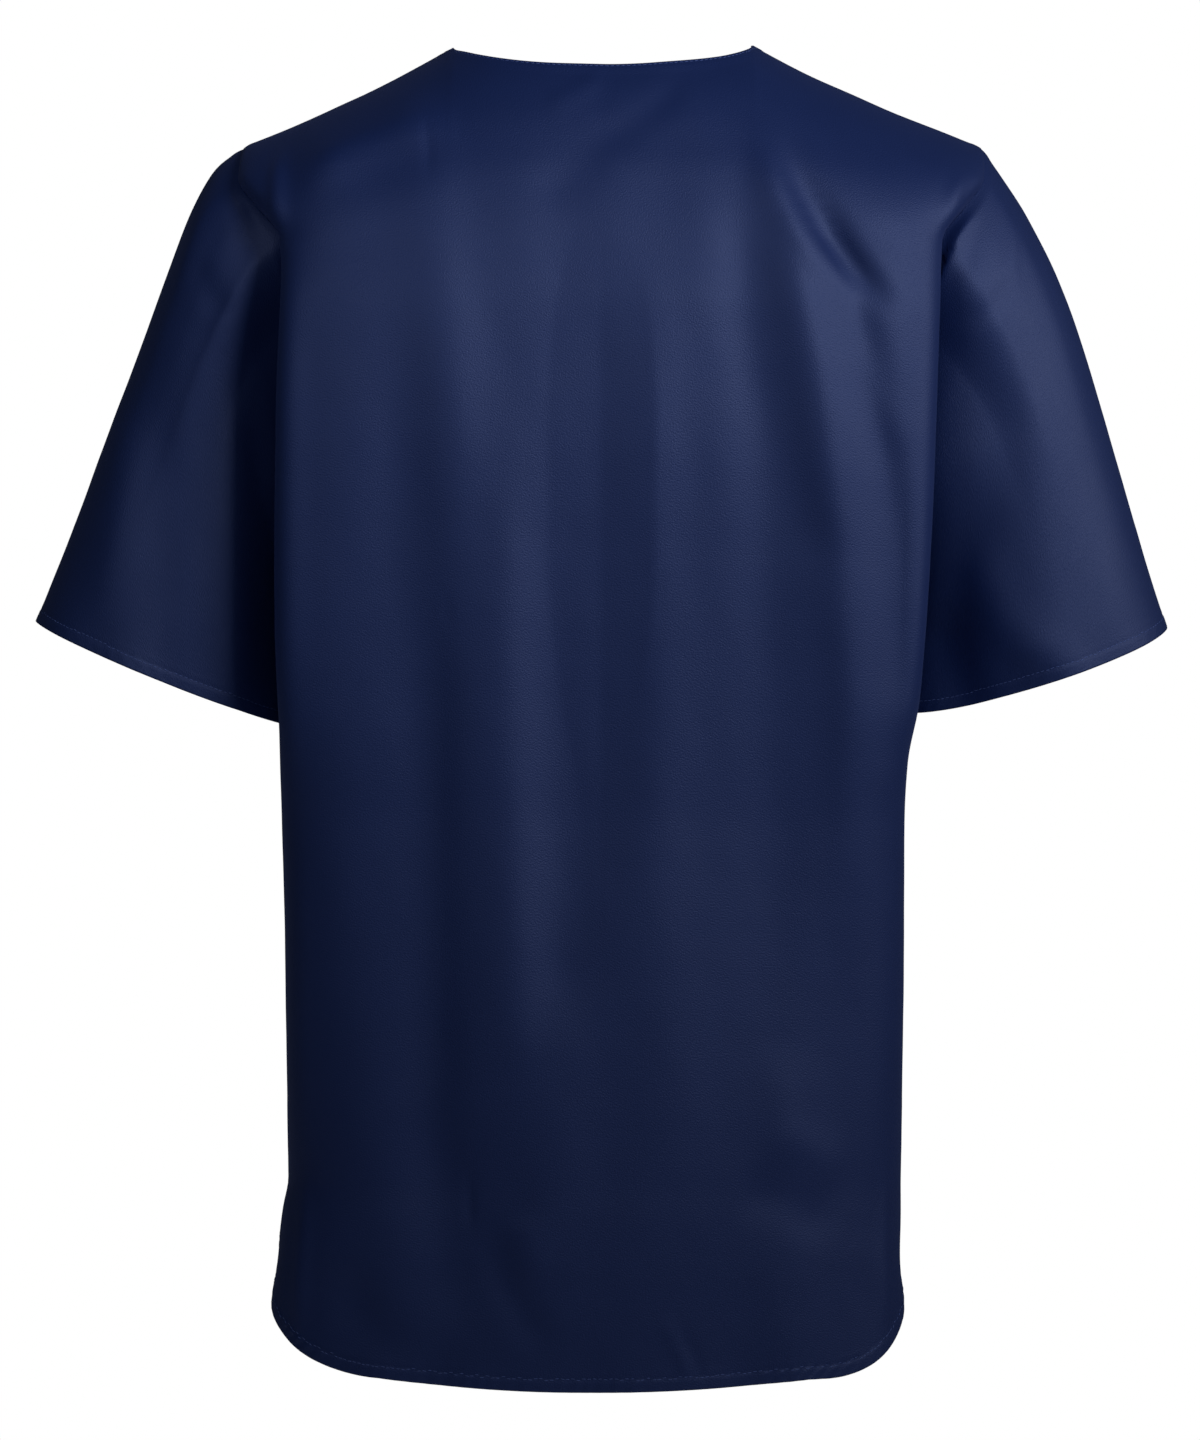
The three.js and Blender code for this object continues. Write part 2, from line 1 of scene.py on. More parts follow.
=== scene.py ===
# %% [markdown]
# # A medical scrub top, filled out as it is worn
#
# The real thing is four pieces of navy satin-faced twill: a back, a front with a V neck and two set-in
# sleeves. They are sewn together, and their free edges are turned under and stitched down. Nobody is
# inside it, so it keeps the hollow shape that it has on a wearer. This script dresses the four CAD walls:
# each is replaced by a thin sheet of cloth with its folds, its hems and its stitches.

import math

import bpy
import numpy as np
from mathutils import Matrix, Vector
from mathutils.bvhtree import BVHTree
from mathutils.kdtree import KDTree


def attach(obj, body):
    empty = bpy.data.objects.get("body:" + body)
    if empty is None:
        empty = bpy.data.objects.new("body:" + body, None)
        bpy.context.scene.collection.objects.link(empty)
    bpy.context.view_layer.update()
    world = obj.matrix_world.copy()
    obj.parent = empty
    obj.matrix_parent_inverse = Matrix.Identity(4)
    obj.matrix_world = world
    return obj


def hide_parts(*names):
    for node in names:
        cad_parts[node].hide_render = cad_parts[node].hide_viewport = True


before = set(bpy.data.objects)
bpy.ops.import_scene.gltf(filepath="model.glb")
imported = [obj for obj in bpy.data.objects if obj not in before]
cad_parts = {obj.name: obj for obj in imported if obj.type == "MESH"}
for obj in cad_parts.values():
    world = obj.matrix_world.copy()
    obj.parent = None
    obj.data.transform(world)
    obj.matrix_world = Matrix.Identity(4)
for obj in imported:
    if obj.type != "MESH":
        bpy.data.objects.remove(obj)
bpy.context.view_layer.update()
MM = 0.001
print("CAD nodes:", sorted(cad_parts))

# %% [markdown]
# ## The camera
#
# The photograph looks level at the middle of the back, from a little over three metres away. A long lens
# at that distance gives the slight perspective that makes the hem sag in the middle. The frame is
# 1200 x 1440, so its long side is upright, and the lens is worked out from the height that it takes in.

# %% Camera at the photograph's viewing angle
CAMERA_DISTANCE = 3.2
CAMERA_HEIGHT = -0.3858
CAMERA_SIDE = 0.0006
VIEW_HEIGHT = 0.828
SENSOR_MM = 36.0

bpy.ops.object.camera_add(
    location=(CAMERA_SIDE, CAMERA_DISTANCE, CAMERA_HEIGHT), rotation=(math.pi / 2, 0, math.pi)
)
camera = bpy.context.object
camera.name = "photo_camera"
camera.data.sensor_width = SENSOR_MM
camera.data.lens = SENSOR_MM * CAMERA_DISTANCE / VIEW_HEIGHT
camera.data.clip_end = 100
bpy.context.scene.camera = camera
print(f"lens {camera.data.lens:.1f} mm")

# %% [markdown]
# ## The form
#
# The cloth follows the form of the CAD walls, so the same named sizes are used here, in millimetres. The
# body is a stack of level lines: each is an oval that runs from one side seam round the outermost fold to
# the other. The table has a row for each level where the form changes.

# %% Sizes shared with the CAD, in millimetres
SHOULDER_TIP_Z = -57.5
NECK_POINT_Z = 0.8
NECK_HALF = {"right": 87, "left": 84.5}
SHOULDER_SAG = {"right": 2.8, "left": 3.2}
BACK_NECK_DROP = 17
FRONT_NECK_DROP = 151
NECK_RISE = 18
ROUND_AT_NECK = 105
ROUND_AT_TIP = 72
UNDERARM_Z = -300
UNDERARM_ROUND = 90
VENT_TOP_Z = -645
FRONT_PART = 0.5
HEM_Z = -758.5
HEM_LIFT = {"right": 5.8, "left": 6.4}
HEM_LIFT_AT = 145
CORNER_WIDE = {"right": 80, "left": 108}
CORNER_HIGH = 62
FAN_Z = {"back": -115, "front": -166}
OUT = {"back": 1, "front": -1}
SIGN = {"right": -1, "left": 1}

BODY_COLUMNS = ("z", "right", "left", "scoop", "back", "front", "turn", "square")
BODY = [
    (20, 219, 206, 0, 72, 80, 44, 3.2),
    (-58.5, 218.5, 205.5, 0, 94, 106, 52, 3.2),
    (-78, 217, 205.5, 2, 101, 112, 55, 3.3),
    (-95, 206, 194.5, 4, 105, 117, 58, 3.6),
    (-115, 192, 180, 6, 109, 121, 60, 4.4),
    (-160, 190, 179, 7, 115, 128, 62, 5.6),
    (-220, 187.5, 180, 6, 116, 132, 62, 6),
    (-300, 184, 181.5, 4, 113, 131, 60, 6),
    (-375, 179, 181, 3, 110, 127, 56, 5.2),
    (-410, 173, 180.8, 2, 109, 126, 48, 4.4),
    (-445, 171.5, 180.4, 1, 108, 125, 40, 3.8),
    (-520, 171.3, 179, 0, 109, 125, 34, 3.2),
    (-645, 170.2, 177.4, 0, 113, 127, 33, 2.6),
    (-662, 170, 180.4, 0, 114, 127, 36, 2.5),
    (-685, 169.8, 183.2, 0, 115, 128, 42, 2.4),
    (-715, 169.6, 185, 0, 116, 129, 51, 2.2),
    (-770, 169.6, 185, 0, 118, 130, 64, 2),
]

SIDE_COLUMNS = ("z", "tuck_right", "tuck_left", "curl", "part")
SIDES = [
    (20, 0, 0, 1, 0),
    (-95, 0, 0, 1, 0),
    (-115, 0, 0, 1, 0),
    (-160, 12, 10, 0.62, 0),
    (-220, 19, 15, 0.45, 0),
    (-300, 17, 15, 0.4, 0),
    (-375, 13, 13, 0.4, 0),
    (-410, 8, 9, 0, 0),
    (-445, 3, 5, 0, 0),
    (-520, 1, 1, 0, 0),
    (-645, 0, 0, 0, 0),
    (-662, 0, 0, 0, 11),
    (-685, 0, 0, 0, 27),
    (-715, 0, 0, 0, 45),
    (-770, 0, 0, 0, 60),
]

SLEEVE_COLUMNS = ("t", "crown_x", "crown_z", "under_x", "under_z", "back", "front")
SLEEVE = {
    "right": [
        (0, 218.5, -57.5, 167, -300, 50, 52),
        (0.05, 230.5, -75, 174.5, -303, 54, 55),
        (0.12, 245, -98, 178.5, -310, 57, 57),
        (0.25, 262, -132, 180, -321, 57, 57),
        (0.45, 282.3, -190, 179, -337, 57, 58),
        (0.7, 301.5, -256, 177, -358, 57, 59),
        (1, 324, -332.5, 174, -379.5, 56, 60),
    ],
    "left": [
        (0, 205.5, -57.5, 166.5, -300, 50, 52),
        (0.05, 221, -69.5, 173.5, -303, 53, 55),
        (0.12, 234, -92, 177.5, -310, 55, 57),
        (0.25, 248, -128, 179.5, -322, 54, 57),
        (0.45, 270, -187, 179, -339, 55, 58),
        (0.7, 297, -259, 177.5, -363, 56, 59),
        (1, 323.5, -329, 174.5, -389, 56, 60),
    ],
}
CUFF_DROOP = {"right": 10.5, "left": 5}
SLEEVE_SETTLE = 2.6
# How much of its depth the back of a sleeve keeps under the arm, how far up that reaches, and from where to
# where along the sleeve it comes in.
SLACK = {"right": 0.5, "left": 0.9}
SLACK_REACH = 0.66
SLACK_FROM, SLACK_FULL = 0.1, 0.75

# %% [markdown]
# ## The folds
#
# A few broad folds hang in each panel. Each is a row: where it starts and ends, how far it bows, how wide
# and how high it is. A negative height is a trough. They are uneven on purpose, as in the photograph: the
# ones on the wearer's right lean towards the side seam, and the ones on the left are almost upright.

# %% Broad folds shared with the CAD
FOLDS = {
    # x1, z1, x2, z2, bow, wide, height
    "back": [
        (96, -48, 50, -700, 0, 24, 3.6),
        (112, -150, 104, -690, 0, 26, -3),
        (14, -90, 2, -560, 4, 24, -2.4),
        (-30, -90, -62, -740, 16, 22, 3),
        (-74, -60, -100, -610, -6, 20, -3.2),
        (-88, -48, -136, -560, -22, 17, 4),
        (-112, -62, -160, -430, -22, 13, -4),
        (20, -520, 34, -770, 0, 26, 3),
        (-104, -560, -108, -770, 0, 22, 2.4),
    ],
    "front": [
        (84, -70, 66, -720, 0, 24, 3.4),
        (118, -140, 108, -640, 0, 20, -3),
        (24, -190, 26, -690, 5, 24, -2.8),
        (-22, -200, -28, -760, -6, 22, 2.6),
        (-78, -70, -72, -600, 0, 22, -3),
        (-116, -110, -112, -700, 6, 20, 3.4),
    ],
}
# A fold grows in over the first share of its length and fades out over the last, and it widens downwards.
# It keeps clear of the side edges, by a share of the width, and of the top edge, in millimetres.
FOLD_GROWN, FOLD_FADES = 0.22, 0.75
FOLD_NARROW, FOLD_BROAD = 0.75, 1.15
CLEAR_OF_SIDE = 0.1
CLEAR_OF_TOP = 30

# %% [markdown]
# ## Reading the tables
#
# Between two rows of a table the form runs on a smooth curve that never swings past either row, so a
# level between two others is never wider than both.

# %% Smooth curves through the tables
def curve_through(at, value):
    """A smooth function through points that never overshoots them."""
    order = np.argsort(at)
    at, value = np.asarray(at, float)[order], np.asarray(value, float)[order]
    slope = np.diff(value) / np.diff(at)
    product, total = slope[:-1] * slope[1:], slope[:-1] + slope[1:]
    middle = np.where(product > 0, 2 * product / np.where(total == 0, 1, total), 0)
    tilt = np.concatenate([slope[:1], middle, slope[-1:]])

    def curve(x):
        x = np.clip(x, at[0], at[-1])
        i = np.clip(np.searchsorted(at, x, side="right") - 1, 0, len(at) - 2)
        step = at[i + 1] - at[i]
        s = (x - at[i]) / step
        return (
            value[i] * (1 + 2 * s) * (1 - s) ** 2
            + value[i + 1] * s * s * (3 - 2 * s)
            + step * (tilt[i] * s * (1 - s) ** 2 - tilt[i + 1] * s * s * (1 - s))
        )

    return curve


def curves_of(table, columns):
    """A curve for each column of a table after its first."""
    rows = np.array(table, float)
    return {name: curve_through(rows[:, 0], rows[:, i + 1]) for i, name in enumerate(columns[1:])}


body = curves_of(BODY, BODY_COLUMNS) | curves_of(SIDES, SIDE_COLUMNS)
sleeve = {side: curves_of(rows, SLEEVE_COLUMNS) for side, rows in SLEEVE.items()}
print("half width at the chest:", round(float(body["right"](-200)), 1), round(float(body["left"](-200)), 1))


def mix(a, b, share):
    return a + (b - a) * share


def ramp(x, low, high):
    """0 below low, 1 above high, and a smooth rise between."""
    s = np.clip((x - low) / (high - low), 0, 1)
    return s * s * (3 - 2 * s)


def by_side(x, right, left):
    return np.where(np.asarray(x) < 0, right, left)


# %% [markdown]
# ## The shoulders and the neckline
#
# The top edge of a panel is its neckline in the middle and its shoulder seams at the sides. The right
# neck point is crisp, and the left one is rounded down a little, as in the photograph. The cloth rounds
# over from the top edge until it hangs straight, a good hand's width lower.

# %% Top edges, widths and depths
NECK_POINT_BLUNT = 1.7
NECK_POINT_WIDE = 4.5
SAG_POWER = 0.8
V_BOW = 1.04


def tip_x(x):
    return by_side(x, SLEEVE["right"][0][1], SLEEVE["left"][0][1])


def blunt(x):
    """How far the left neck point is rounded down."""
    off = (x - NECK_HALF["left"]) / NECK_POINT_WIDE
    return NECK_POINT_BLUNT * np.exp(-off * off)


def shoulder_z(x):
    neck = by_side(x, NECK_HALF["right"], NECK_HALF["left"])
    sag = by_side(x, SHOULDER_SAG["right"], SHOULDER_SAG["left"])
    reach = np.abs(x)
    s = np.clip((reach - neck) / (tip_x(x) - neck), 0, 1)
    outside = mix(NECK_POINT_Z, SHOULDER_TIP_Z, s) - sag * np.sin(np.pi * s**SAG_POWER)
    inside = NECK_POINT_Z + NECK_RISE * (1 - (reach / neck) ** 2)
    return np.where(reach < neck, inside, outside) - blunt(x)


def top_edge_z(panel, x):
    share = np.abs(x) / by_side(x, NECK_HALF["right"], NECK_HALF["left"])
    inner = np.clip(1 - share, 0, 1)
    if panel == "back":
        neckline = NECK_POINT_Z - BACK_NECK_DROP * np.sqrt(1 - np.clip(share, 0, 1) ** 2)
    else:
        neckline = NECK_POINT_Z - FRONT_NECK_DROP * inner**V_BOW
    return np.where(share >= 1, shoulder_z(x), neckline - blunt(x))


def half_width(panel, side, z):
    scoop = body["scoop"](z) if panel == "front" else 0
    return body[side](z) - scoop


def round_over(x, z):
    over = mix(ROUND_AT_NECK, ROUND_AT_TIP, np.abs(x) / tip_x(x))
    t = np.clip((shoulder_z(x) + blunt(x) - z) / over, 0, 1)
    return np.sqrt(1 - (1 - t) ** 2)


def fold_height(panel, x, z):
    height = np.zeros_like(x)
    for x1, z1, x2, z2, bow, wide, high in FOLDS[panel]:
        s = (z1 - z) / (z1 - z2)
        inside = (s > 0) & (s < 1)
        s = np.clip(s, 0, 1)
        middle = mix(x1, x2, s) + bow * np.sin(np.pi * s)
        fade = ramp(s, 0, FOLD_GROWN) * (1 - ramp(s, FOLD_FADES, 1))
        off = (x - middle) / (wide * mix(FOLD_NARROW, FOLD_BROAD, s))
        height = height + np.where(inside, high * fade * np.exp(-off * off), 0)
    width = by_side(x, half_width(panel, "right", z), half_width(panel, "left", z))
    off_side = ramp(1 - np.abs(x) / width, 0, CLEAR_OF_SIDE)
    off_top = ramp(top_edge_z(panel, x) - z, 0, CLEAR_OF_TOP)
    return height * off_side * off_top


# %% [markdown]
# ## One level of a panel
#
# A level line starts on the side seam or the armhole, runs out to the outermost fold, across, and back in
# on the other side. Above the chest the lines fan out, so that the last one lies along the shoulder seams
# and the neckline.

# %% Side edges and level lines
FINE_STEPS = 720
TUCK_STEPS = 40


def turn_depth(panel, side, z):
    return body["turn"](z) * round_over(SIGN[side] * half_width(panel, side, z), z)


def edge_point(panel, side, z):
    opened = np.clip((z - UNDERARM_Z) / UNDERARM_ROUND, 0, 1)
    curl = body["curl"](z) * np.sqrt(1 - (1 - opened) ** 2)
    width = half_width(panel, side, z)
    scooped = body[side](z) - width
    x = width - body["tuck_" + side](z) + scooped * (1 - curl)
    part = body["part"](z) * (FRONT_PART if panel == "front" else 1)
    y = curl * turn_depth(panel, side, z) + part
    return np.stack([SIGN[side] * x, OUT[panel] * y, z + 0 * x], axis=-1)


def tuck_line(panel, side, z):
    edge = edge_point(panel, side, np.array(z, float))
    turn = np.array([SIGN[side] * half_width(panel, side, z), OUT[panel] * turn_depth(panel, side, z), z])
    s = np.arange(TUCK_STEPS)[:, None] / TUCK_STEPS
    line = mix(edge, turn, s)
    line[:, 0] = mix(edge[0], turn[0], (s * s * (3 - 2 * s))[:, 0])
    return line


def level_line(panel, z, fan):
    angle = np.linspace(0, np.pi, FINE_STEPS + 1)
    power = 2 / body["square"](z)
    across = np.abs(np.cos(angle)) ** power * np.where(angle < np.pi / 2, -1, 1)
    outward = np.abs(np.sin(angle)) ** power
    width = by_side(across, half_width(panel, "right", z), half_width(panel, "left", z))
    x = across * width
    height = np.full_like(x, z)
    if fan > 0:
        height = mix(FAN_Z[panel], top_edge_z(panel, x * tip_x(x) / width), fan)
    depth = mix(body["turn"](height), body[panel](height), outward) * round_over(x, height)
    y = OUT[panel] * (depth + fold_height(panel, x, height))
    middle = np.stack([x, y, height], axis=-1)
    return np.concatenate([tuck_line(panel, "right", z), middle, tuck_line(panel, "left", z)[::-1]])


def lengths(line):
    return np.concatenate([[0], np.cumsum(np.linalg.norm(np.diff(line, axis=0), axis=1))])


def points_at(line, distances):
    along = lengths(line)
    return np.stack([np.interp(distances, along, line[:, i]) for i in range(3)], axis=-1)


# %% [markdown]
# ## The grid of a panel
#
# Rows and columns crowd together near every edge, because that is where the turned hems and the grooves
# of the seams are. Elsewhere a square of a few millimetres is enough for soft folds.

# %% Rows and columns of a panel
EDGE_STEPS = np.array([0, 0.9, 1.8, 3, 4.5, 6, 7, 7.8, 9, 11.5, 15])
COLUMNS_TO_NECK = 84
COLUMNS_IN_NECK = 46
VENT_ROWS = 22
VENT_LEVELS = 60
SIDE_ROWS = 60
ARMHOLE_STEPS = 68
MARGIN = EDGE_STEPS[-1]


def column_distances(panel):
    """A function that gives where the columns lie on a line of any length."""
    top = level_line(panel, SHOULDER_TIP_Z, 1)
    along = lengths(top)
    inner = along[-1] - 2 * MARGIN
    neck_right, middle, neck_left = [
        (np.interp(x, top[:, 0], along) - MARGIN) / inner for x in (-NECK_HALF["right"], 0, NECK_HALF["left"])
    ]
    shares = np.concatenate(
        [
            np.linspace(0, neck_right, COLUMNS_TO_NECK, endpoint=False),
            np.linspace(neck_right, middle, COLUMNS_IN_NECK, endpoint=False),
            np.linspace(middle, neck_left, COLUMNS_IN_NECK, endpoint=False),
            np.linspace(neck_left, 1, COLUMNS_TO_NECK + 1),
        ]
    )

    def distances(total):
        across = MARGIN + shares * (total - 2 * MARGIN)
        return np.concatenate([EDGE_STEPS[:-1], across, total - EDGE_STEPS[-2::-1]])

    return distances


def hem_z(from_edge, x):
    lift = by_side(x, HEM_LIFT["right"], HEM_LIFT["left"])
    cut = HEM_Z + lift * np.minimum(np.abs(x) / HEM_LIFT_AT, 1) ** 2
    inside = np.maximum(1 - from_edge / by_side(x, CORNER_WIDE["right"], CORNER_WIDE["left"]), 0)
    return cut + CORNER_HIGH * (1 - np.sqrt(1 - inside**2))


def armhole_z(angle):
    return mix(UNDERARM_Z, SHOULDER_TIP_Z, (1 + np.cos(angle)) / 2)


def panel_grid(panel):
    distances = column_distances(panel)

    def sampled(z, fan=0.0):
        line = level_line(panel, z, fan)
        return points_at(line, distances(lengths(line)[-1]))

    vent_top = sampled(VENT_TOP_Z)
    total = lengths(level_line(panel, VENT_TOP_Z, 0))[-1]
    from_edge = np.minimum(distances(total), total - distances(total))
    bottom = hem_z(from_edge, vent_top[:, 0])
    levels = np.linspace(HEM_Z - 1, VENT_TOP_Z, VENT_LEVELS)
    block = np.stack([sampled(z) for z in levels])
    rows = []
    lifts = list(EDGE_STEPS) + [None] * VENT_ROWS
    for i, lift in enumerate(lifts):
        share = 0 if lift is not None else (i - len(EDGE_STEPS) + 1) / VENT_ROWS
        z = mix(bottom + (MARGIN if lift is None else lift), VENT_TOP_Z, share)
        at = np.interp(z, levels, np.arange(len(levels)))
        low = np.clip(at.astype(int), 0, len(levels) - 2)
        columns = np.arange(len(z))
        rows.append(mix(block[low, columns], block[low + 1, columns], (at - low)[:, None]))
    for z in np.linspace(VENT_TOP_Z, UNDERARM_Z, SIDE_ROWS + 1)[1:-1]:
        rows.append(sampled(z))
    for angle in np.linspace(np.pi, 0, ARMHOLE_STEPS + 1):
        z = float(armhole_z(angle))
        rows.append(sampled(z, max((z - FAN_Z[panel]) / (SHOULDER_TIP_Z - FAN_Z[panel]), 0)))
    return np.stack(rows)


grids = {panel: panel_grid(panel) for panel in ("back", "front")}
print({name: grid.shape for name, grid in grids.items()})


# %% [markdown]
# ## The sleeves
#
# A sleeve is a tube from the armhole to the cuff. Its first ring is the armhole itself. It soon settles
# into an oval that is flattened between the arm and the side. Each line along the tube is divided by its
# own length, so that the hem is as deep under the arm as on top of it.

# %% Grid of a sleeve
SLEEVE_ROWS = 62
SLEEVE_COLUMNS_ROUND = 4 * ARMHOLE_STEPS
SLEEVE_STEPS = 160
STEPS_CROWD = 1.3


def armhole_point(side, angle):
    z = armhole_z(angle)
    back, front = edge_point("back", side, z), edge_point("front", side, z)
    return np.where((np.sin(angle) >= 0)[..., None], back, front)


def sleeve_point(side, t, angle):
    def oval(at):
        row = {name: curve(at) for name, curve in sleeve[side].items()}
        upward, outward = (1 + np.cos(angle)) / 2, np.sin(angle)
        x = SIGN[side] * mix(row["under_x"], row["crown_x"], upward)
        low = mix(SLACK[side], 1, ramp(upward, 0, SLACK_REACH))
        back = row["back"] * mix(1, low, ramp(at, SLACK_FROM, SLACK_FULL))
        y = outward * np.where(outward > 0, back, row["front"])
        z = mix(row["under_z"], row["crown_z"], upward) - CUFF_DROOP[side] * outward * at
        return np.stack([x, y, z], axis=-1)

    settle = ((1 - t) ** SLEEVE_SETTLE)[..., None]
    return oval(t) + settle * (armhole_point(side, angle) - oval(np.zeros_like(t)))


def sleeve_grid(side):
    angles = np.linspace(0, 2 * np.pi, SLEEVE_COLUMNS_ROUND, endpoint=False)
    lines = []
    for angle in angles:
        t = np.linspace(0, 1, SLEEVE_STEPS) ** STEPS_CROWD
        line = sleeve_point(side, t, np.full_like(t, angle))
        total = lengths(line)[-1]
        across = np.linspace(MARGIN, total - MARGIN, SLEEVE_ROWS)
        lines.append(points_at(line, np.concatenate([EDGE_STEPS[:-1], across, total - EDGE_STEPS[-2::-1]])))
    return np.stack(lines, axis=1)


for side in ("right", "left"):
    grids["sleeve_" + side] = sleeve_grid(side)
print("sleeve grid", grids["sleeve_left"].shape)

# %% [markdown]
# ## Edges and seams
#
# Every hem, seam and row of stitches follows an edge of a piece. So each edge is kept as a line of points,
# and each point of the cloth learns how far it is from the lines near it and how far along them it is.

# %% Lines along the edges of each piece
VENT_ROW = len(EDGE_STEPS) + VENT_ROWS - 1
ARMHOLE_ROW = VENT_ROW + SIDE_ROWS
NECK_RIGHT = len(EDGE_STEPS) - 1 + COLUMNS_TO_NECK
NECK_LEFT = NECK_RIGHT + 2 * COLUMNS_IN_NECK
FLIP = {"back": 1, "front": -1, "sleeve_right": -1, "sleeve_left": 1}
NODE = {
    "back": "back_panel",
    "front": "front_panel",
    "sleeve_right": "sleeve_right",
    "sleeve_left": "sleeve_left",
}


def is_tube(name):
    return name.startswith("sleeve")


def ring(row):
    return np.concatenate([row, row[:1]])


def closed(name, grid):
    """The grid, with its first column once more after its last on a tube."""
    return np.concatenate([grid, grid[:, :1]], axis=1) if is_tube(name) else grid


def hem_line(name, grid):
    if is_tube(name):
        return ring(grid[-1])
    return np.concatenate([grid[VENT_ROW:0:-1, 0], grid[0], grid[1 : VENT_ROW + 1, -1]])


def neck_line(grid):
    return grid[-1, NECK_RIGHT : NECK_LEFT + 1]


def seam_places(name, grid):
    """Rows and columns of the points on each seam, and of the next points into the piece."""
    rows, columns = grid.shape[:2]
    if is_tube(name):
        around = np.r_[np.arange(columns), 0]
        return [(0 * around, around, 0 * around + 1, around)]
    places = []
    for first, last in ((0, NECK_RIGHT), (NECK_LEFT, columns - 1)):
        across = np.arange(first, last + 1)
        top = np.full_like(across, rows - 1)
        places.append((top, across, top - 1, across))
    for edge, inner in ((0, 1), (columns - 1, columns - 2)):
        for first, last in ((VENT_ROW, ARMHOLE_ROW), (ARMHOLE_ROW, rows - 1)):
            up = np.arange(first, last + 1)
            places.append((up, np.full_like(up, edge), up, np.full_like(up, inner)))
    return places


def grid_normals(name, grid):
    up = np.gradient(grid, axis=0)
    if is_tube(name):
        across = np.roll(grid, -1, axis=1) - np.roll(grid, 1, axis=1)
    else:
        across = np.gradient(grid, axis=1)
    normal = np.cross(up, across) * FLIP[name]
    return normal / np.maximum(np.linalg.norm(normal, axis=2, keepdims=True), 1e-9)


def unit(vectors):
    return vectors / np.maximum(np.linalg.norm(vectors, axis=-1, keepdims=True), 1e-9)


normals = {name: grid_normals(name, grid) for name, grid in grids.items()}
hem_length = {name: round(float(lengths(hem_line(name, grid))[-1])) for name, grid in grids.items()}
print("length of each hem in mm:", hem_length)


# %% How far each point of the cloth is from a line
def tree_of(points):
    """A tree that finds the nearest of the points."""
    tree = KDTree(len(points))
    for i, point in enumerate(points):
        tree.insert(point, i)
    tree.balance()
    return tree


def near_line(points, line, reach):
    """Distance to the line, at most reach, and the place along it."""
    places = np.arange(0, lengths(line)[-1], 1.0)
    samples = points_at(line, places)
    tangents = unit(np.gradient(samples, axis=0))
    tree = tree_of(samples)
    flat = points.reshape(-1, 3)
    close = np.all((flat > samples.min(0) - reach) & (flat < samples.max(0) + reach), axis=1)
    distance, place = np.full(len(flat), float(reach)), np.zeros(len(flat))
    chosen = np.flatnonzero(close)
    nearest = np.array([tree.find(flat[i])[1] for i in chosen], int)
    offset = flat[chosen] - samples[nearest]
    step = np.einsum("ij,ij->i", offset, tangents[nearest])
    step = np.clip(step, np.where(nearest == 0, 0, -2), np.where(nearest == len(samples) - 1, 0, 2))
    distance[chosen] = np.linalg.norm(offset - step[:, None] * tangents[nearest], axis=1)
    place[chosen] = places[nearest] + step
    shape = points.shape[:2]
    return np.minimum(distance, reach).reshape(shape), place.reshape(shape)


# %% [markdown]
# ## Creases
#
# The photograph's cloth is smooth and full. It has a few soft drags where it is pulled: from the shoulders
# towards the sides, beside the armholes, above the vents. Between them run long soft waves, too low for the
# solids. Each is one row, a trough or a ridge that fades at both ends. The front and the far sides of the
# sleeves, which the photograph doesn't show, get a few of the same kind.

# %% Creases of the back and the front
CREASES = {
    # x1, z1, x2, z2, bow, wide, height
    "back": [
        (98, -50, 97, -80, 1, 3.2, -0.6),
        (84, -50, 170, -86, -4, 9, 2.8),
        (84, -40, 178, -84, -4, 19, 4.0),
        (33, -43, -4, -20, -2, 6, 0.8),
        (-52, -20, 8, -64, 5, 9, -1.2),
        (-2, -62, 40, -96, 3, 12, -0.9),
        (-100, -66, -164, -160, -5, 8, -4.2),
        (-88, -66, -142, -156, -5, 9, 2.2),
        (-92, -170, -134, -320, -10, 17, -1.6),
        (-128, -116, -168, -240, -4, 9, 1.5),
        (-90, -46, -92, -104, 1, 10, 0.9),
        (-204, -76, -190, -118, 0, 5, 1.6),
        (182, -62, 181, -132, 0, 5, 2.2),
        (74, -638, 73, -668, 0, 3, -0.8),
        (90, -600, 84, -730, 4, 24, -3.4),
        (64, -664, 26, -740, -5, 10, -1.5),
        (46, -660, 36, -700, 2, 12, 1.3),
        (-32, -716, -49, -752, 2, 4, 0.7),
        (-40, -722, -57, -754, 2, 4, -0.5),
        (-76, -644, -132, -672, 3, 14, -1.6),
        (-90, -614, -136, -642, 4, 12, 1.4),
        (148, -690, 104, -742, -6, 14, -1.8),
        (165, -640, 170, -738, 0, 5, 1.5),
        (-160, -636, -158, -742, 0, 4.5, 1.3),
        (176, -110, 175, -420, 0, 10, 3.4),
        (170, -440, 170, -640, 0, 8, 1.2),
        (54, -190, 44, -640, 0, 17, 3.8),
        (96, -300, 92, -700, 0, 16, -3.2),
        (160, -76, -140, -80, 3, 24, -2.4),
        (-6, -400, -16, -760, 0, 34, 4.0),
        (-128, -260, -134, -740, 0, 18, -1.8),
        (86, -318, 84, -332, 0, 2.6, -0.4),
        (-54, -390, -56, -394, 0, 2.4, -0.3),
    ],
    "front": [
        (116, -58, 160, -150, 6, 12, -2.2),
        (-118, -62, -158, -160, -6, 12, -2.2),
        (96, -120, 132, -250, 6, 13, 1.6),
        (-100, -130, -140, -270, -6, 14, 1.8),
        (30, -170, 74, -230, 5, 12, -1.2),
        (-28, -172, -66, -236, -5, 12, -1.2),
        (-150, -560, -96, -640, 6, 16, -1.6),
        (146, -590, 90, -668, -6, 16, -1.8),
        (22, -650, 44, -742, 3, 14, 1.6),
        (-60, -640, -40, -738, 3, 14, -1.6),
        (163, -640, 166, -738, 0, 5, 1.3),
        (-158, -640, -160, -742, 0, 5, 1.3),
    ],
}

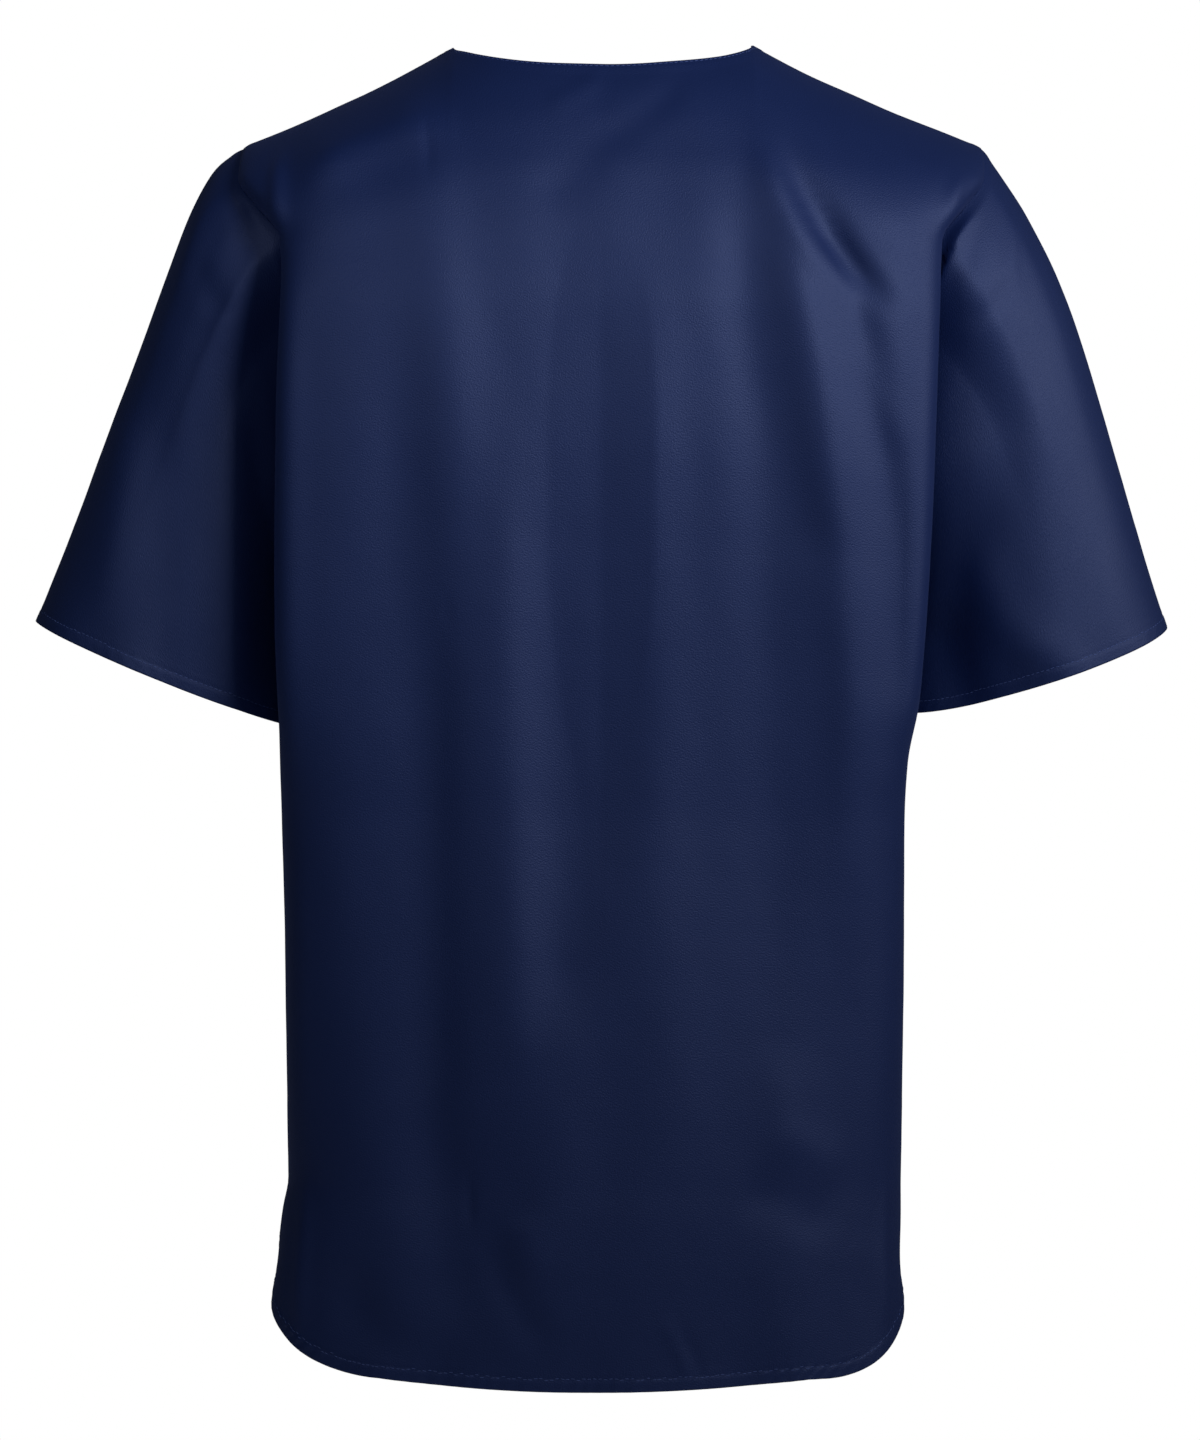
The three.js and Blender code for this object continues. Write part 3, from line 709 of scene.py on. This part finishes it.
# %% Creases of the sleeves, on their back and front faces
SLEEVE_CREASES = {
    # x1, z1, x2, z2, bow, wide, height
    ("right", "back"): [
        (-212, -98, -195, -146, 3, 6, -1.3),
        (-206, -96, -196, -122, 2, 5, 1.2),
        (-232, -136, -205, -164, 3, 6, -0.9),
        (-232, -98, -233, -140, 0, 2.6, 0.5),
        (-228, -190, -219, -296, 4, 15, -1.2),
        (-212, -286, -262, -364, -8, 15, 3.6),
        (-190, -320, -218, -392, -3, 14, -3.0),
        (-186, -70, -198, -300, 0, 32, 8),
    ],
    ("right", "front"): [
        (-214, -98, -198, -150, 3, 7, -1.8),
        (-236, -140, -210, -172, 3, 7, -1.4),
        (-250, -190, -258, -310, -4, 14, 2.0),
        (-222, -200, -216, -300, 3, 12, -2.0),
    ],
    ("left", "back"): [
        (206, -84, 196, -128, -2, 6, -1.6),
        (232, -120, 210, -160, -3, 8, -1.2),
        (270, -190, 282, -336, 4, 13, 1.8),
        (211, -150, 205, -420, 0, 13, 3.5),
        (247, -180, 250, -420, 0, 20, -3.5),
        (228, -80, 240, -140, 3, 8, 0.9),
    ],
    ("left", "front"): [
        (210, -96, 198, -146, -3, 7, -1.8),
        (230, -136, 208, -170, -3, 7, -1.4),
        (248, -196, 256, -316, 4, 14, 2.0),
        (220, -200, 216, -300, -3, 12, -2.0),
    ],
}
# The share of a crease's length where it starts, is at its height, starts to fade and is gone.
CREASE_STARTS, CREASE_GROWN, CREASE_FADES, CREASE_GONE = -0.05, 0.3, 0.7, 1.05


def crease_height(rows, x, z):
    height = np.zeros_like(x)
    for x1, z1, x2, z2, bow, wide, high in rows:
        long = math.hypot(x2 - x1, z2 - z1)
        ax, az = (x2 - x1) / long, (z2 - z1) / long
        share = ((x - x1) * ax + (z - z1) * az) / long
        off = (x - x1) * az - (z - z1) * ax - bow * np.sin(np.pi * np.clip(share, 0, 1))
        grown = ramp(share, CREASE_STARTS, CREASE_GROWN)
        fade = grown * (1 - ramp(share, CREASE_FADES, CREASE_GONE))
        height += high * fade * np.exp(-((off / wide) ** 2))
    return height


def creases_of(name, grid, normal):
    x, z, facing = grid[..., 0], grid[..., 2], normal[..., 1]
    if name in CREASES:
        return crease_height(CREASES[name], x, z) * ramp(facing * OUT[name], 0.05, 0.35)
    side = name[len("sleeve_") :]
    behind = crease_height(SLEEVE_CREASES[side, "back"], x, z) * ramp(facing, 0.05, 0.4)
    ahead = crease_height(SLEEVE_CREASES[side, "front"], x, z) * ramp(-facing, 0.05, 0.4)
    return behind + ahead


print(sum(len(rows) for rows in [*CREASES.values(), *SLEEVE_CREASES.values()]), "creases")

# %% [markdown]
# ## Hems, seams and unevenness
#
# A turned hem is three layers of cloth. Its row of stitches sinks in, and the feed of the machine drags the
# top layer along, which ropes the band into small slanted waves. Its edge also swings a millimetre or so
# in and out. A seam sinks into a narrow groove, with the turned allowance as a low ridge beside it. No
# cloth hangs perfectly smooth, so slow waves less than half a millimetre high run over all of it.

# %% Relief of the hems and the seams, in millimetres
HEM_DEPTH = 8
HEM_REACH = 60
HEM_STITCH_IN = 7.4
HEM_STITCH_SINKS, HEM_STITCH_WIDE = 0.42, 0.9
ROPE_PITCH = 8.7
ROPE_HIGH = 0.34
ROPE_ABOVE_HIGH, ROPE_ABOVE_AT, ROPE_ABOVE_WIDE = 0.16, 11, 3.2
CUFF_ROPE = 0.35
SWINGS = [(0.8, 83, 0.6), (0.5, 47, 2.0)]  # height, pitch and start of each
SWING_REACH = 24
NECK_STITCH_IN = 1.4
NECK_STITCH_SINKS, NECK_STITCH_WIDE = 0.1, 0.5
NECK_BAND_HIGH, NECK_BAND_FROM, NECK_BAND_TO = 0.2, 5.2, 6.8
SEAM_REACH = 16
SEAM_SINKS, SEAM_GROOVE_WIDE = 0.7, 1.3
ALLOWANCE_HIGH, ALLOWANCE_AT, ALLOWANCE_WIDE = 0.26, 5, 2.6
SLOW_WAVES, QUICK_WAVES = 0.3, 0.05


def wave(place, pitch, start=0.0):
    return np.sin(2 * np.pi * place / pitch + start)


def hump(distance, middle, wide):
    return np.exp(-(((distance - middle) / wide) ** 2))


def hem_relief(distance, place, strength):
    uneven = strength * (0.35 + 0.65 * (0.5 + 0.5 * wave(place, 97, 2)) ** 1.5)
    slant = (place + 0.8 * distance) + 2.1 * wave(place, 61)
    band = ramp(distance, 0.3, 2.5) * (1 - ramp(distance, 6.2, 7.6))
    rope = ROPE_HIGH * uneven * wave(slant, ROPE_PITCH) * band
    ripple = ROPE_ABOVE_HIGH * uneven * wave(slant, ROPE_PITCH, 1.2)
    above = ripple * hump(distance, ROPE_ABOVE_AT, ROPE_ABOVE_WIDE)
    sunk = -HEM_STITCH_SINKS * hump(distance, HEM_STITCH_IN, HEM_STITCH_WIDE)
    swing = sum(high * wave(place, pitch, start) for high, pitch, start in SWINGS)
    return rope + above + sunk + swing * np.exp(-distance / SWING_REACH)


def neck_relief(distance):
    band = NECK_BAND_HIGH * (1 - ramp(distance, NECK_BAND_FROM, NECK_BAND_TO))
    return band - NECK_STITCH_SINKS * hump(distance, NECK_STITCH_IN, NECK_STITCH_WIDE)


def seam_relief(distance):
    groove = -SEAM_SINKS * np.exp(-distance / SEAM_GROOVE_WIDE)
    return groove + ALLOWANCE_HIGH * hump(distance, ALLOWANCE_AT, ALLOWANCE_WIDE)


def unevenness(name, grid):
    x, y, z = np.moveaxis(grid, -1, 0)
    start = 1.7 * list(FLIP).index(name)
    slow = wave(x + 0.06 * z, 53, start) * wave(z - 0.2 * x, 260, start + 1)
    quick = wave(0.8 * x - z + y, 41, start + 2) * wave(x + 0.5 * z, 57, start)
    return SLOW_WAVES * slow + QUICK_WAVES * quick


# %% [markdown]
# ## Dressing the grids
#
# Where two pieces meet, both are moved along one shared direction, so neither runs into the other, and each
# is drawn back a little from the seam. Further in, each moves along its own normal.

# %% Shared directions along the seams
MEETS_WITHIN = 2.0
seam_lines = {name: seam_places(name, grid) for name, grid in grids.items()}
seam_trees, seam_normals = {}, {}
for name, places in seam_lines.items():
    seam_trees[name] = tree_of(np.concatenate([grids[name][r, c] for r, c, _, _ in places]))
    seam_normals[name] = np.concatenate([normals[name][r, c] for r, c, _, _ in places])


def shared_directions(name):
    """For each seam of a piece, the mean of the normals of all the pieces that meet on it."""
    found = []
    for r, c, _, _ in seam_lines[name]:
        total = normals[name][r, c].copy()
        for other, tree in seam_trees.items():
            if other == name:
                continue
            for k, point in enumerate(grids[name][r, c]):
                _, i, gap = tree.find(point)
                if gap < MEETS_WITHIN:
                    total[k] += seam_normals[other][i]
        found.append(unit(total))
    return found


shared = {name: shared_directions(name) for name in grids}


# %% Move every grid to its finished shape
CLOTH_MM = 0.5
HEM_CLOTH_MM = 1.25
SEAM_BACK = 0.14
SHARED_WIDE = 5
CALM_REACH = 9
NECK_THICK = 0.5
STEEPEST_COSINE = 0.4
MOST_DRAWN_BACK = 0.8


def dressed(name):
    """The finished grid of a piece, and how much of a hem's extra thickness each point has."""
    grid, own = grids[name], normals[name]
    direction = own.copy()
    calm = np.ones(grid.shape[:2])
    seams = np.zeros(grid.shape[:2])
    for (r, c, _, _), lean in zip(seam_lines[name], shared[name]):
        line = grid[r, c]
        distance, place = near_line(grid, line, SEAM_REACH)
        along = lengths(line)
        toward = np.stack([np.interp(place, along, lean[:, i]) for i in range(3)], axis=-1)
        near = np.exp(-((distance / SHARED_WIDE) ** 2))[..., None]
        near[distance >= SEAM_REACH] = 0
        direction = unit(direction * (1 - near) + toward * near)
        calm = np.minimum(calm, ramp(distance, 0, CALM_REACH))
        seams = seams + np.where(distance < SEAM_REACH, seam_relief(distance), 0)
    lift = (creases_of(name, grid, own) + unevenness(name, grid)) * calm
    hem, place = near_line(grid, hem_line(name, grid), HEM_REACH)
    relief = hem_relief(hem, place, CUFF_ROPE if is_tube(name) else 1)
    lift += np.where(hem < HEM_REACH, relief, 0) * calm
    thick = 1 - ramp(hem, HEM_DEPTH + 0.2, HEM_DEPTH + 1.4)
    if is_tube(name):
        under, _ = near_line(grid, grid[:, grid.shape[1] // 2], SEAM_REACH)
        seams = seams + np.where(under < SEAM_REACH, seam_relief(under), 0)
    else:
        neck, _ = near_line(grid, neck_line(grid), SEAM_REACH)
        lift += np.where(neck < SEAM_REACH, neck_relief(neck), 0) * calm
        thick = np.maximum(thick, NECK_THICK * (1 - ramp(neck, 5.4, NECK_BAND_TO)))
    moved = grid + direction * (lift + seams)[..., None]
    for (r, c, inner_r, inner_c), lean in zip(seam_lines[name], shared[name]):
        cosine = np.clip(np.einsum("ij,ij->i", own[r, c], lean), STEEPEST_COSINE, 1)
        back = SEAM_BACK + 0.5 * CLOTH_MM * np.sqrt(1 - cosine**2) / cosine
        inward = moved[inner_r, inner_c] - moved[r, c]
        share = np.minimum(back / np.maximum(np.linalg.norm(inward, axis=1), 1e-6), MOST_DRAWN_BACK)
        moved[r, c] += inward * share[:, None]
    return moved, thick


finished = {name: dressed(name) for name in grids}
for name, (grid, thick) in finished.items():
    print(name, "moved by up to", round(float(np.abs(grid - grids[name]).max()), 1), "mm")

# %% [markdown]
# ## From grids to cloth
#
# Each grid becomes a mesh of one layer, with a UV map that holds the distances across and along the cloth
# in metres, so the weave keeps its size and follows every fold. Solidify gives the thickness: a vertex
# group makes it more than twice as much in the hems as in the rest.

# %% Cloth meshes
WEIGHT_STEPS = 40


def new_piece(name, points, faces):
    """A smooth-shaded object, selected and active, from points in millimetres."""
    mesh = bpy.data.meshes.new(name)
    mesh.from_pydata((points * MM).tolist(), [], faces)
    piece = bpy.data.objects.new(name, mesh)
    bpy.context.collection.objects.link(piece)
    bpy.ops.object.select_all(action="DESELECT")
    piece.select_set(True)
    bpy.context.view_layer.objects.active = piece
    bpy.ops.object.shade_smooth()
    return piece


def cloth_coordinates(name, grid):
    """Distances across and along the closed grid in metres."""
    wide = closed(name, grid)
    across = np.stack([lengths(row) for row in wide])
    middle = 0 if is_tube(name) else wide.shape[1] // 2
    along = np.stack([lengths(wide[:, c]) for c in range(wide.shape[1])], axis=1)
    return (across - across[:, middle : middle + 1]) * MM, along * MM


def make_cloth(name, grid, thick):
    rows, columns = grid.shape[:2]
    last = columns if is_tube(name) else columns - 1
    r, c = np.meshgrid(np.arange(rows - 1), np.arange(last), indexing="ij")
    corner_r = np.stack([r, r, r + 1, r + 1], axis=-1).reshape(-1, 4)
    corner_c = np.stack([c, c + 1, c + 1, c], axis=-1).reshape(-1, 4)
    if FLIP[name] > 0:
        corner_r, corner_c = corner_r[:, ::-1], corner_c[:, ::-1]
    faces = corner_r * columns + corner_c % columns
    piece = new_piece(name + "_cloth", grid.reshape(-1, 3), faces.tolist())
    across, along = cloth_coordinates(name, grid)
    u, v = across[corner_r, corner_c], along[corner_r, corner_c]
    if is_tube(name):
        # The map is cut under the arm, so what lies beyond the cut is measured back from the first column.
        cut, whole = columns // 2, across[:, -1:]
        across = np.where(np.arange(columns + 1) > cut, across - whole, across)
        beyond = corner_c.min(axis=1, keepdims=True) >= cut
        u = across[corner_r, corner_c]
        u = np.where(beyond & (corner_c == cut), u - whole[0], u)
    layer = piece.data.uv_layers.new(name="cloth_metres")
    layer.data.foreach_set("uv", np.stack([u, v], axis=-1).astype(np.float32).ravel())
    group = piece.vertex_groups.new(name="hem")
    thin = CLOTH_MM / HEM_CLOTH_MM
    steps = np.round((thin + (1 - thin) * thick.ravel()) * WEIGHT_STEPS) / WEIGHT_STEPS
    for weight in np.unique(steps):
        group.add(np.flatnonzero(steps == weight).tolist(), float(weight), "REPLACE")
    return piece


cloth = {}
for name, (grid, thick) in finished.items():
    piece = make_cloth(name, grid, thick)
    cloth[name] = piece
    shell = piece.modifiers.new("cloth thickness", "SOLIDIFY")
    shell.thickness = HEM_CLOTH_MM * MM
    shell.offset = 0
    shell.vertex_group = "hem"
    bpy.ops.object.modifier_apply(modifier=shell.name)
    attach(piece, "root")
    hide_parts(NODE[name])
    print(name, "faces:", len(piece.data.polygons))

# %% [markdown]
# ## Stitches
#
# The hems, the vents, the cuffs and the neckline are held by rows of stitches, a little proud of the
# cloth, on both of its faces. One stitch is a sphere drawn out into a spindle of thread. Copies of it are
# laid along a line that keeps one distance from the edge.

# %% One stitch
STITCH_PITCH = 3.0
STITCH_LONG = 2.3
STITCH_LEAN = 0.09
THREAD_MM = 0.42
THREAD_FLAT = 0.8
THREAD_PROUD = 0.22

bpy.ops.object.select_all(action="DESELECT")
bpy.ops.mesh.primitive_uv_sphere_add(segments=6, ring_count=5, radius=0.5, rotation=(0, math.pi / 2, 0))
pattern = bpy.context.object
bpy.ops.object.transform_apply(rotation=True)
pattern.scale = (STITCH_LONG, THREAD_MM, THREAD_MM * THREAD_FLAT)
bpy.ops.object.transform_apply(scale=True)
stitch_points = np.array([tuple(v.co) for v in pattern.data.vertices])


# Blender may number the sphere's points otherwise in another run, so they and the faces are sorted.
def from_lowest(face):
    low = face.index(min(face))
    return face[low:] + face[:low]


order = np.lexsort(stitch_points.T.round(4))
rank = np.argsort(order).tolist()
stitch_points = stitch_points[order]
stitch_faces = sorted(from_lowest([rank[i] for i in p.vertices]) for p in pattern.data.polygons)
bpy.data.objects.remove(pattern)
print("faces in a stitch:", len(stitch_faces))


# %% Rows of stitches
NEIGHBOURHOOD = 12
START_OFF = 2.5
LEAST_COSINE = 0.2


def surface_of(mesh):
    points = [tuple(v.co) for v in mesh.vertices]
    return BVHTree.FromPolygons(points, [list(p.vertices) for p in mesh.polygons])


surfaces = {name: surface_of(piece.data) for name, piece in cloth.items()}
grid_trees = {name: tree_of(grid.reshape(-1, 3)) for name, (grid, _) in finished.items()}


def stitch_row(name, line, inset, face):
    """Places for the stitches that run inset mm from a line, on the outer face, 1, or the inner, -1."""
    count = int(lengths(line)[-1] / STITCH_PITCH)
    places = (np.arange(count) + 0.5) * STITCH_PITCH
    spots = points_at(line, places)
    ahead = points_at(line, places + STITCH_PITCH / 2) - points_at(line, places - STITCH_PITCH / 2)
    ahead = unit(ahead)
    grid = finished[name][0].reshape(-1, 3)
    own = normals[name].reshape(-1, 3)
    out = np.stack([own[grid_trees[name].find(spot)[1]] for spot in spots])
    inward = unit(np.cross(out, ahead))
    middle = spots[count // 2]
    cloth_there = grid[np.linalg.norm(grid - middle, axis=1) < NEIGHBOURHOOD].mean(0)
    if np.dot(inward[count // 2], cloth_there - middle) < 0:
        inward = -inward
    frames = []
    for spot, along, toward, up in zip(spots, ahead, inward, out):
        start = spot + toward * inset + up * (START_OFF * face)
        hit, normal, _, _ = surfaces[name].find_nearest(Vector(start * MM))
        if hit is None:
            continue
        normal = np.array(normal)
        if np.dot(normal, up) * face < LEAST_COSINE:
            continue
        along = unit(along - normal * np.dot(along, normal))
        spot = np.array(hit) / MM + normal * THREAD_MM * THREAD_PROUD
        frames.append((spot, along, np.cross(normal, along), normal))
    return frames


def sew(name, rows):
    points, faces = [], []
    for frames in rows:
        for k, (spot, along, across, up) in enumerate(frames):
            lean = STITCH_LEAN * (1 if k % 2 else -1)
            along, across = along + across * lean, across - along * lean
            turned = spot + stitch_points @ np.stack([along, across, up])
            faces += [[i + len(points) * len(stitch_points) for i in face] for face in stitch_faces]
            points.append(turned)
    piece = new_piece(name, np.concatenate(points), faces)
    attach(piece, "root")
    print(name, len(points), "stitches")
    return piece


stitches = {}
for name, (grid, _) in finished.items():
    hem = hem_line(name, grid)
    rows = [stitch_row(name, hem, HEM_STITCH_IN, face) for face in (1, -1)]
    stitches[name] = [sew(name + "_hem_stitches", rows)]
for name in ("back", "front"):
    neck = neck_line(finished[name][0])
    rows = [stitch_row(name, neck, NECK_STITCH_IN, face) for face in (1, -1)]
    stitches[name].append(sew(name + "_neck_stitches", rows))

# %% [markdown]
# ## The cloth's cut
#
# Each piece's size as it shows is printed: as wide as its widest level below the
# armholes, or all round a sleeve, and as long as its longest column. A piece isn't a rectangle, so its own
# area is printed too.

for name, (grid, _) in finished.items():
    whole = closed(name, grid)
    levels = whole if is_tube(name) else whole[whole[:, 0, 2] < FAN_Z[name]]
    width = max(lengths(row)[-1] for row in levels) * MM
    long = max(lengths(whole[:, c])[-1] for c in range(whole.shape[1])) * MM
    one, two = whole[1:, 1:] - whole[:-1, :-1], whole[1:, :-1] - whole[:-1, 1:]
    area = 0.5 * np.linalg.norm(np.cross(one, two), axis=2).sum() * MM * MM
    print(f"{name}: {width * 1000:.0f} x {long * 1000:.0f} mm, {area:.4f} m2")

# %% [markdown]
# ## Navy satin-faced twill
#
# Scrubs are cut from a polyester and cotton twill whose face is nearly all warp, which gives the soft
# broad shine. Its colours are given as sRGB hex and turned linear. The weave's diagonal is 0.6 mm apart on
# the real cloth; that is finer than a pixel, so it is drawn at 1.5 mm and very faint, together with the
# fine speckle of the fibres, which also makes the gloss a little uneven. The shine is tinted blue, because
# it comes from dyed fibres.

# %% Colours and nodes
def linear(hex_colour):
    parts = [int(hex_colour[i : i + 2], 16) / 255 for i in (1, 3, 5)]
    return tuple(v / 12.92 if v <= 0.04045 else ((v + 0.055) / 1.055) ** 2.4 for v in parts) + (1.0,)


def add_node(tree, kind, inputs=None, **settings):
    """Adds a node. An input given a socket is linked to it, and one given a value is set."""
    node = tree.nodes.new(kind)
    for key, value in settings.items():
        setattr(node, key, value)
    for key, value in (inputs or {}).items():
        if isinstance(value, bpy.types.NodeSocket):
            tree.links.new(value, node.inputs[key])
        else:
            node.inputs[key].default_value = value
    return node


def times_plus(tree, value, factor, start):
    values = {0: value, 1: factor, 2: start}
    return add_node(tree, "ShaderNodeMath", values, operation="MULTIPLY_ADD").outputs[0]


def between(tree, share, one, other):
    colours = {"Factor": share, 6: linear(one), 7: linear(other)}
    return add_node(tree, "ShaderNodeMix", colours, data_type="RGBA").outputs[2]


def noise(tree, place, scale, detail):
    values = {"Vector": place, "Scale": scale, "Detail": detail}
    return add_node(tree, "ShaderNodeTexNoise", values).outputs["Fac"]


def new_material(name):
    material = bpy.data.materials.new(name)
    material.use_nodes = True
    tree = material.node_tree
    return material, tree, tree.nodes["Principled BSDF"]


# %% The twill
NAVY_DEEP = "#061742"
NAVY = "#0A2054"
SHINE = "#B4C6FF"
SHEEN = "#6F80D0"
TWILL_PITCH = 0.0015
TWILL_ANGLE = math.radians(63)
WAVES_IN_ONE = 0.314  # the wave texture's scale, for bands one metre apart
LINE_SHARE = 0.05
SPECKLE = 0.0009
CLOUD_SCALE = 34.0
SHADE, SHADE_OF_FIBRES, SHADE_OF_CLOUDS = 0.12, 0.75, 0.2
ROUGH, ROUGH_OF_FIBRES, ROUGH_OF_CLOUDS = 0.48, 0.12, 0.06
RELIEF = {"Strength": 0.55, "Distance": 0.0004}

twill, tree, shader = new_material("navy_satin_twill")
place = add_node(tree, "ShaderNodeUVMap", uv_map="cloth_metres").outputs["UV"]
turn = {"Vector": place, "Rotation": (0, 0, TWILL_ANGLE)}
turned = add_node(tree, "ShaderNodeMapping", turn).outputs["Vector"]
bands = {"Vector": turned, "Scale": WAVES_IN_ONE / TWILL_PITCH, "Distortion": 0.6, "Detail": 1.0}
lines = add_node(tree, "ShaderNodeTexWave", bands).outputs["Fac"]
fibres = noise(tree, place, 1 / SPECKLE, 1.0)
cloudy = noise(tree, place, CLOUD_SCALE, 3.0)
shade = times_plus(tree, fibres, SHADE_OF_FIBRES, SHADE)
shade = times_plus(tree, cloudy, SHADE_OF_CLOUDS, shade)
relief = times_plus(tree, lines, LINE_SHARE, fibres)
bump = add_node(tree, "ShaderNodeBump", {"Height": relief} | RELIEF).outputs["Normal"]
rough = times_plus(tree, cloudy, ROUGH_OF_CLOUDS, ROUGH)
rough = times_plus(tree, fibres, ROUGH_OF_FIBRES, rough)
tree.links.new(between(tree, shade, NAVY_DEEP, NAVY), shader.inputs["Base Color"])
tree.links.new(bump, shader.inputs["Normal"])
tree.links.new(rough, shader.inputs["Roughness"])
shader.inputs["Specular IOR Level"].default_value = 0.82
shader.inputs["Specular Tint"].default_value = linear(SHINE)
shader.inputs["Sheen Weight"].default_value = 0.08
shader.inputs["Sheen Roughness"].default_value = 0.45
shader.inputs["Sheen Tint"].default_value = linear(SHEEN)
for piece in cloth.values():
    piece.data.materials.append(twill)

# %% The thread
# Polyester sewing thread is smoother than the cloth and dyed a little lighter, so the rows show as fine dots.
THREAD_DEEP = "#34467E"
THREAD_PALE = "#5A6CA8"
PLY_SCALE = 2500.0

thread, tree, shader = new_material("navy_polyester_thread")
place = add_node(tree, "ShaderNodeTexCoord").outputs["Object"]
ply = noise(tree, place, PLY_SCALE, 1.0)
tree.links.new(between(tree, ply, THREAD_DEEP, THREAD_PALE), shader.inputs["Base Color"])
shader.inputs["Roughness"].default_value = 0.42
shader.inputs["Specular Tint"].default_value = linear(SHINE)
for rows in stitches.values():
    for piece in rows:
        piece.data.materials.append(thread)
print("materials:", twill.name, thread.name)

# %% [markdown]
# ## Studio
#
# The garment hangs in the air in front of white, as on a wearer who isn't there. The key softbox, above and
# to the camera's right, lights the upper back, and its light falls off towards the hem. A weaker one on the
# left lights the other shoulder, and one from the far right the outer face of the right sleeve. A fourth
# lights the front, which the photograph doesn't show. The white that the camera sees isn't what lights the
# cloth: the rest of the room is dim, so the recesses stay nearly black.

# %% Floor and room
FLOOR_Z = -1.42
FLOOR_RADIUS = 1.5
FLOOR_GLOW = 0.16
bpy.ops.object.select_all(action="DESELECT")
bpy.ops.mesh.primitive_circle_add(
    vertices=96, radius=FLOOR_RADIUS, fill_type="NGON", location=(0, 0, FLOOR_Z)
)
floor = bpy.context.object
floor.name = "floor"
pale, _, shader = new_material("pale_floor")
shader.inputs["Base Color"].default_value = linear("#ECECEC")
shader.inputs["Roughness"].default_value = 0.9
shader.inputs["Emission Color"].default_value = (1, 1, 1, 1)
shader.inputs["Emission Strength"].default_value = FLOOR_GLOW
floor.data.materials.append(pale)

ROOM_LIGHT = 0.05
ROOM_COLOUR = (0.75, 0.85, 1, 1)
world = bpy.data.worlds.new("studio")
bpy.context.scene.world = world
world.use_nodes = True
tree = world.node_tree
backdrop = tree.nodes["Background"]
backdrop.inputs["Color"].default_value = (1, 1, 1, 1)
backdrop.inputs["Strength"].default_value = 1.0
room = add_node(tree, "ShaderNodeBackground", {"Color": ROOM_COLOUR, "Strength": ROOM_LIGHT})
rays = add_node(tree, "ShaderNodeLightPath")
choice = {0: rays.outputs["Is Camera Ray"], 1: room.outputs[0], 2: backdrop.outputs[0]}
either = add_node(tree, "ShaderNodeMixShader", choice)
tree.links.new(either.outputs["Shader"], tree.nodes["World Output"].inputs["Surface"])
bpy.context.scene.view_settings.view_transform = "Standard"


# %% Lights
def softbox(name, place, aim, size, energy, spread=180):
    bpy.ops.object.light_add(type="AREA", location=place)
    light = bpy.context.object
    light.name = name
    light.data.size = size
    light.data.energy = energy
    light.data.spread = math.radians(spread)
    light.rotation_euler = (Vector(aim) - Vector(place)).to_track_quat("-Z", "Y").to_euler()


softbox("key_softbox", (-0.68, 1.2, 0.32), (0.1, 0.1, 0.03), size=0.5, energy=2.35, spread=82)
softbox("left_softbox", (0.7, 1.3, 0.26), (0.06, 0.1, 0.05), size=0.5, energy=0.68, spread=82)
softbox("side_softbox", (-1.5, 0.5, 0.2), (-0.2, 0.05, -0.1), size=0.6, energy=1.55, spread=82)
softbox("front_softbox", (-0.1, -1.9, -0.08), (0.0, 0.0, -0.3), size=0.5, energy=20)
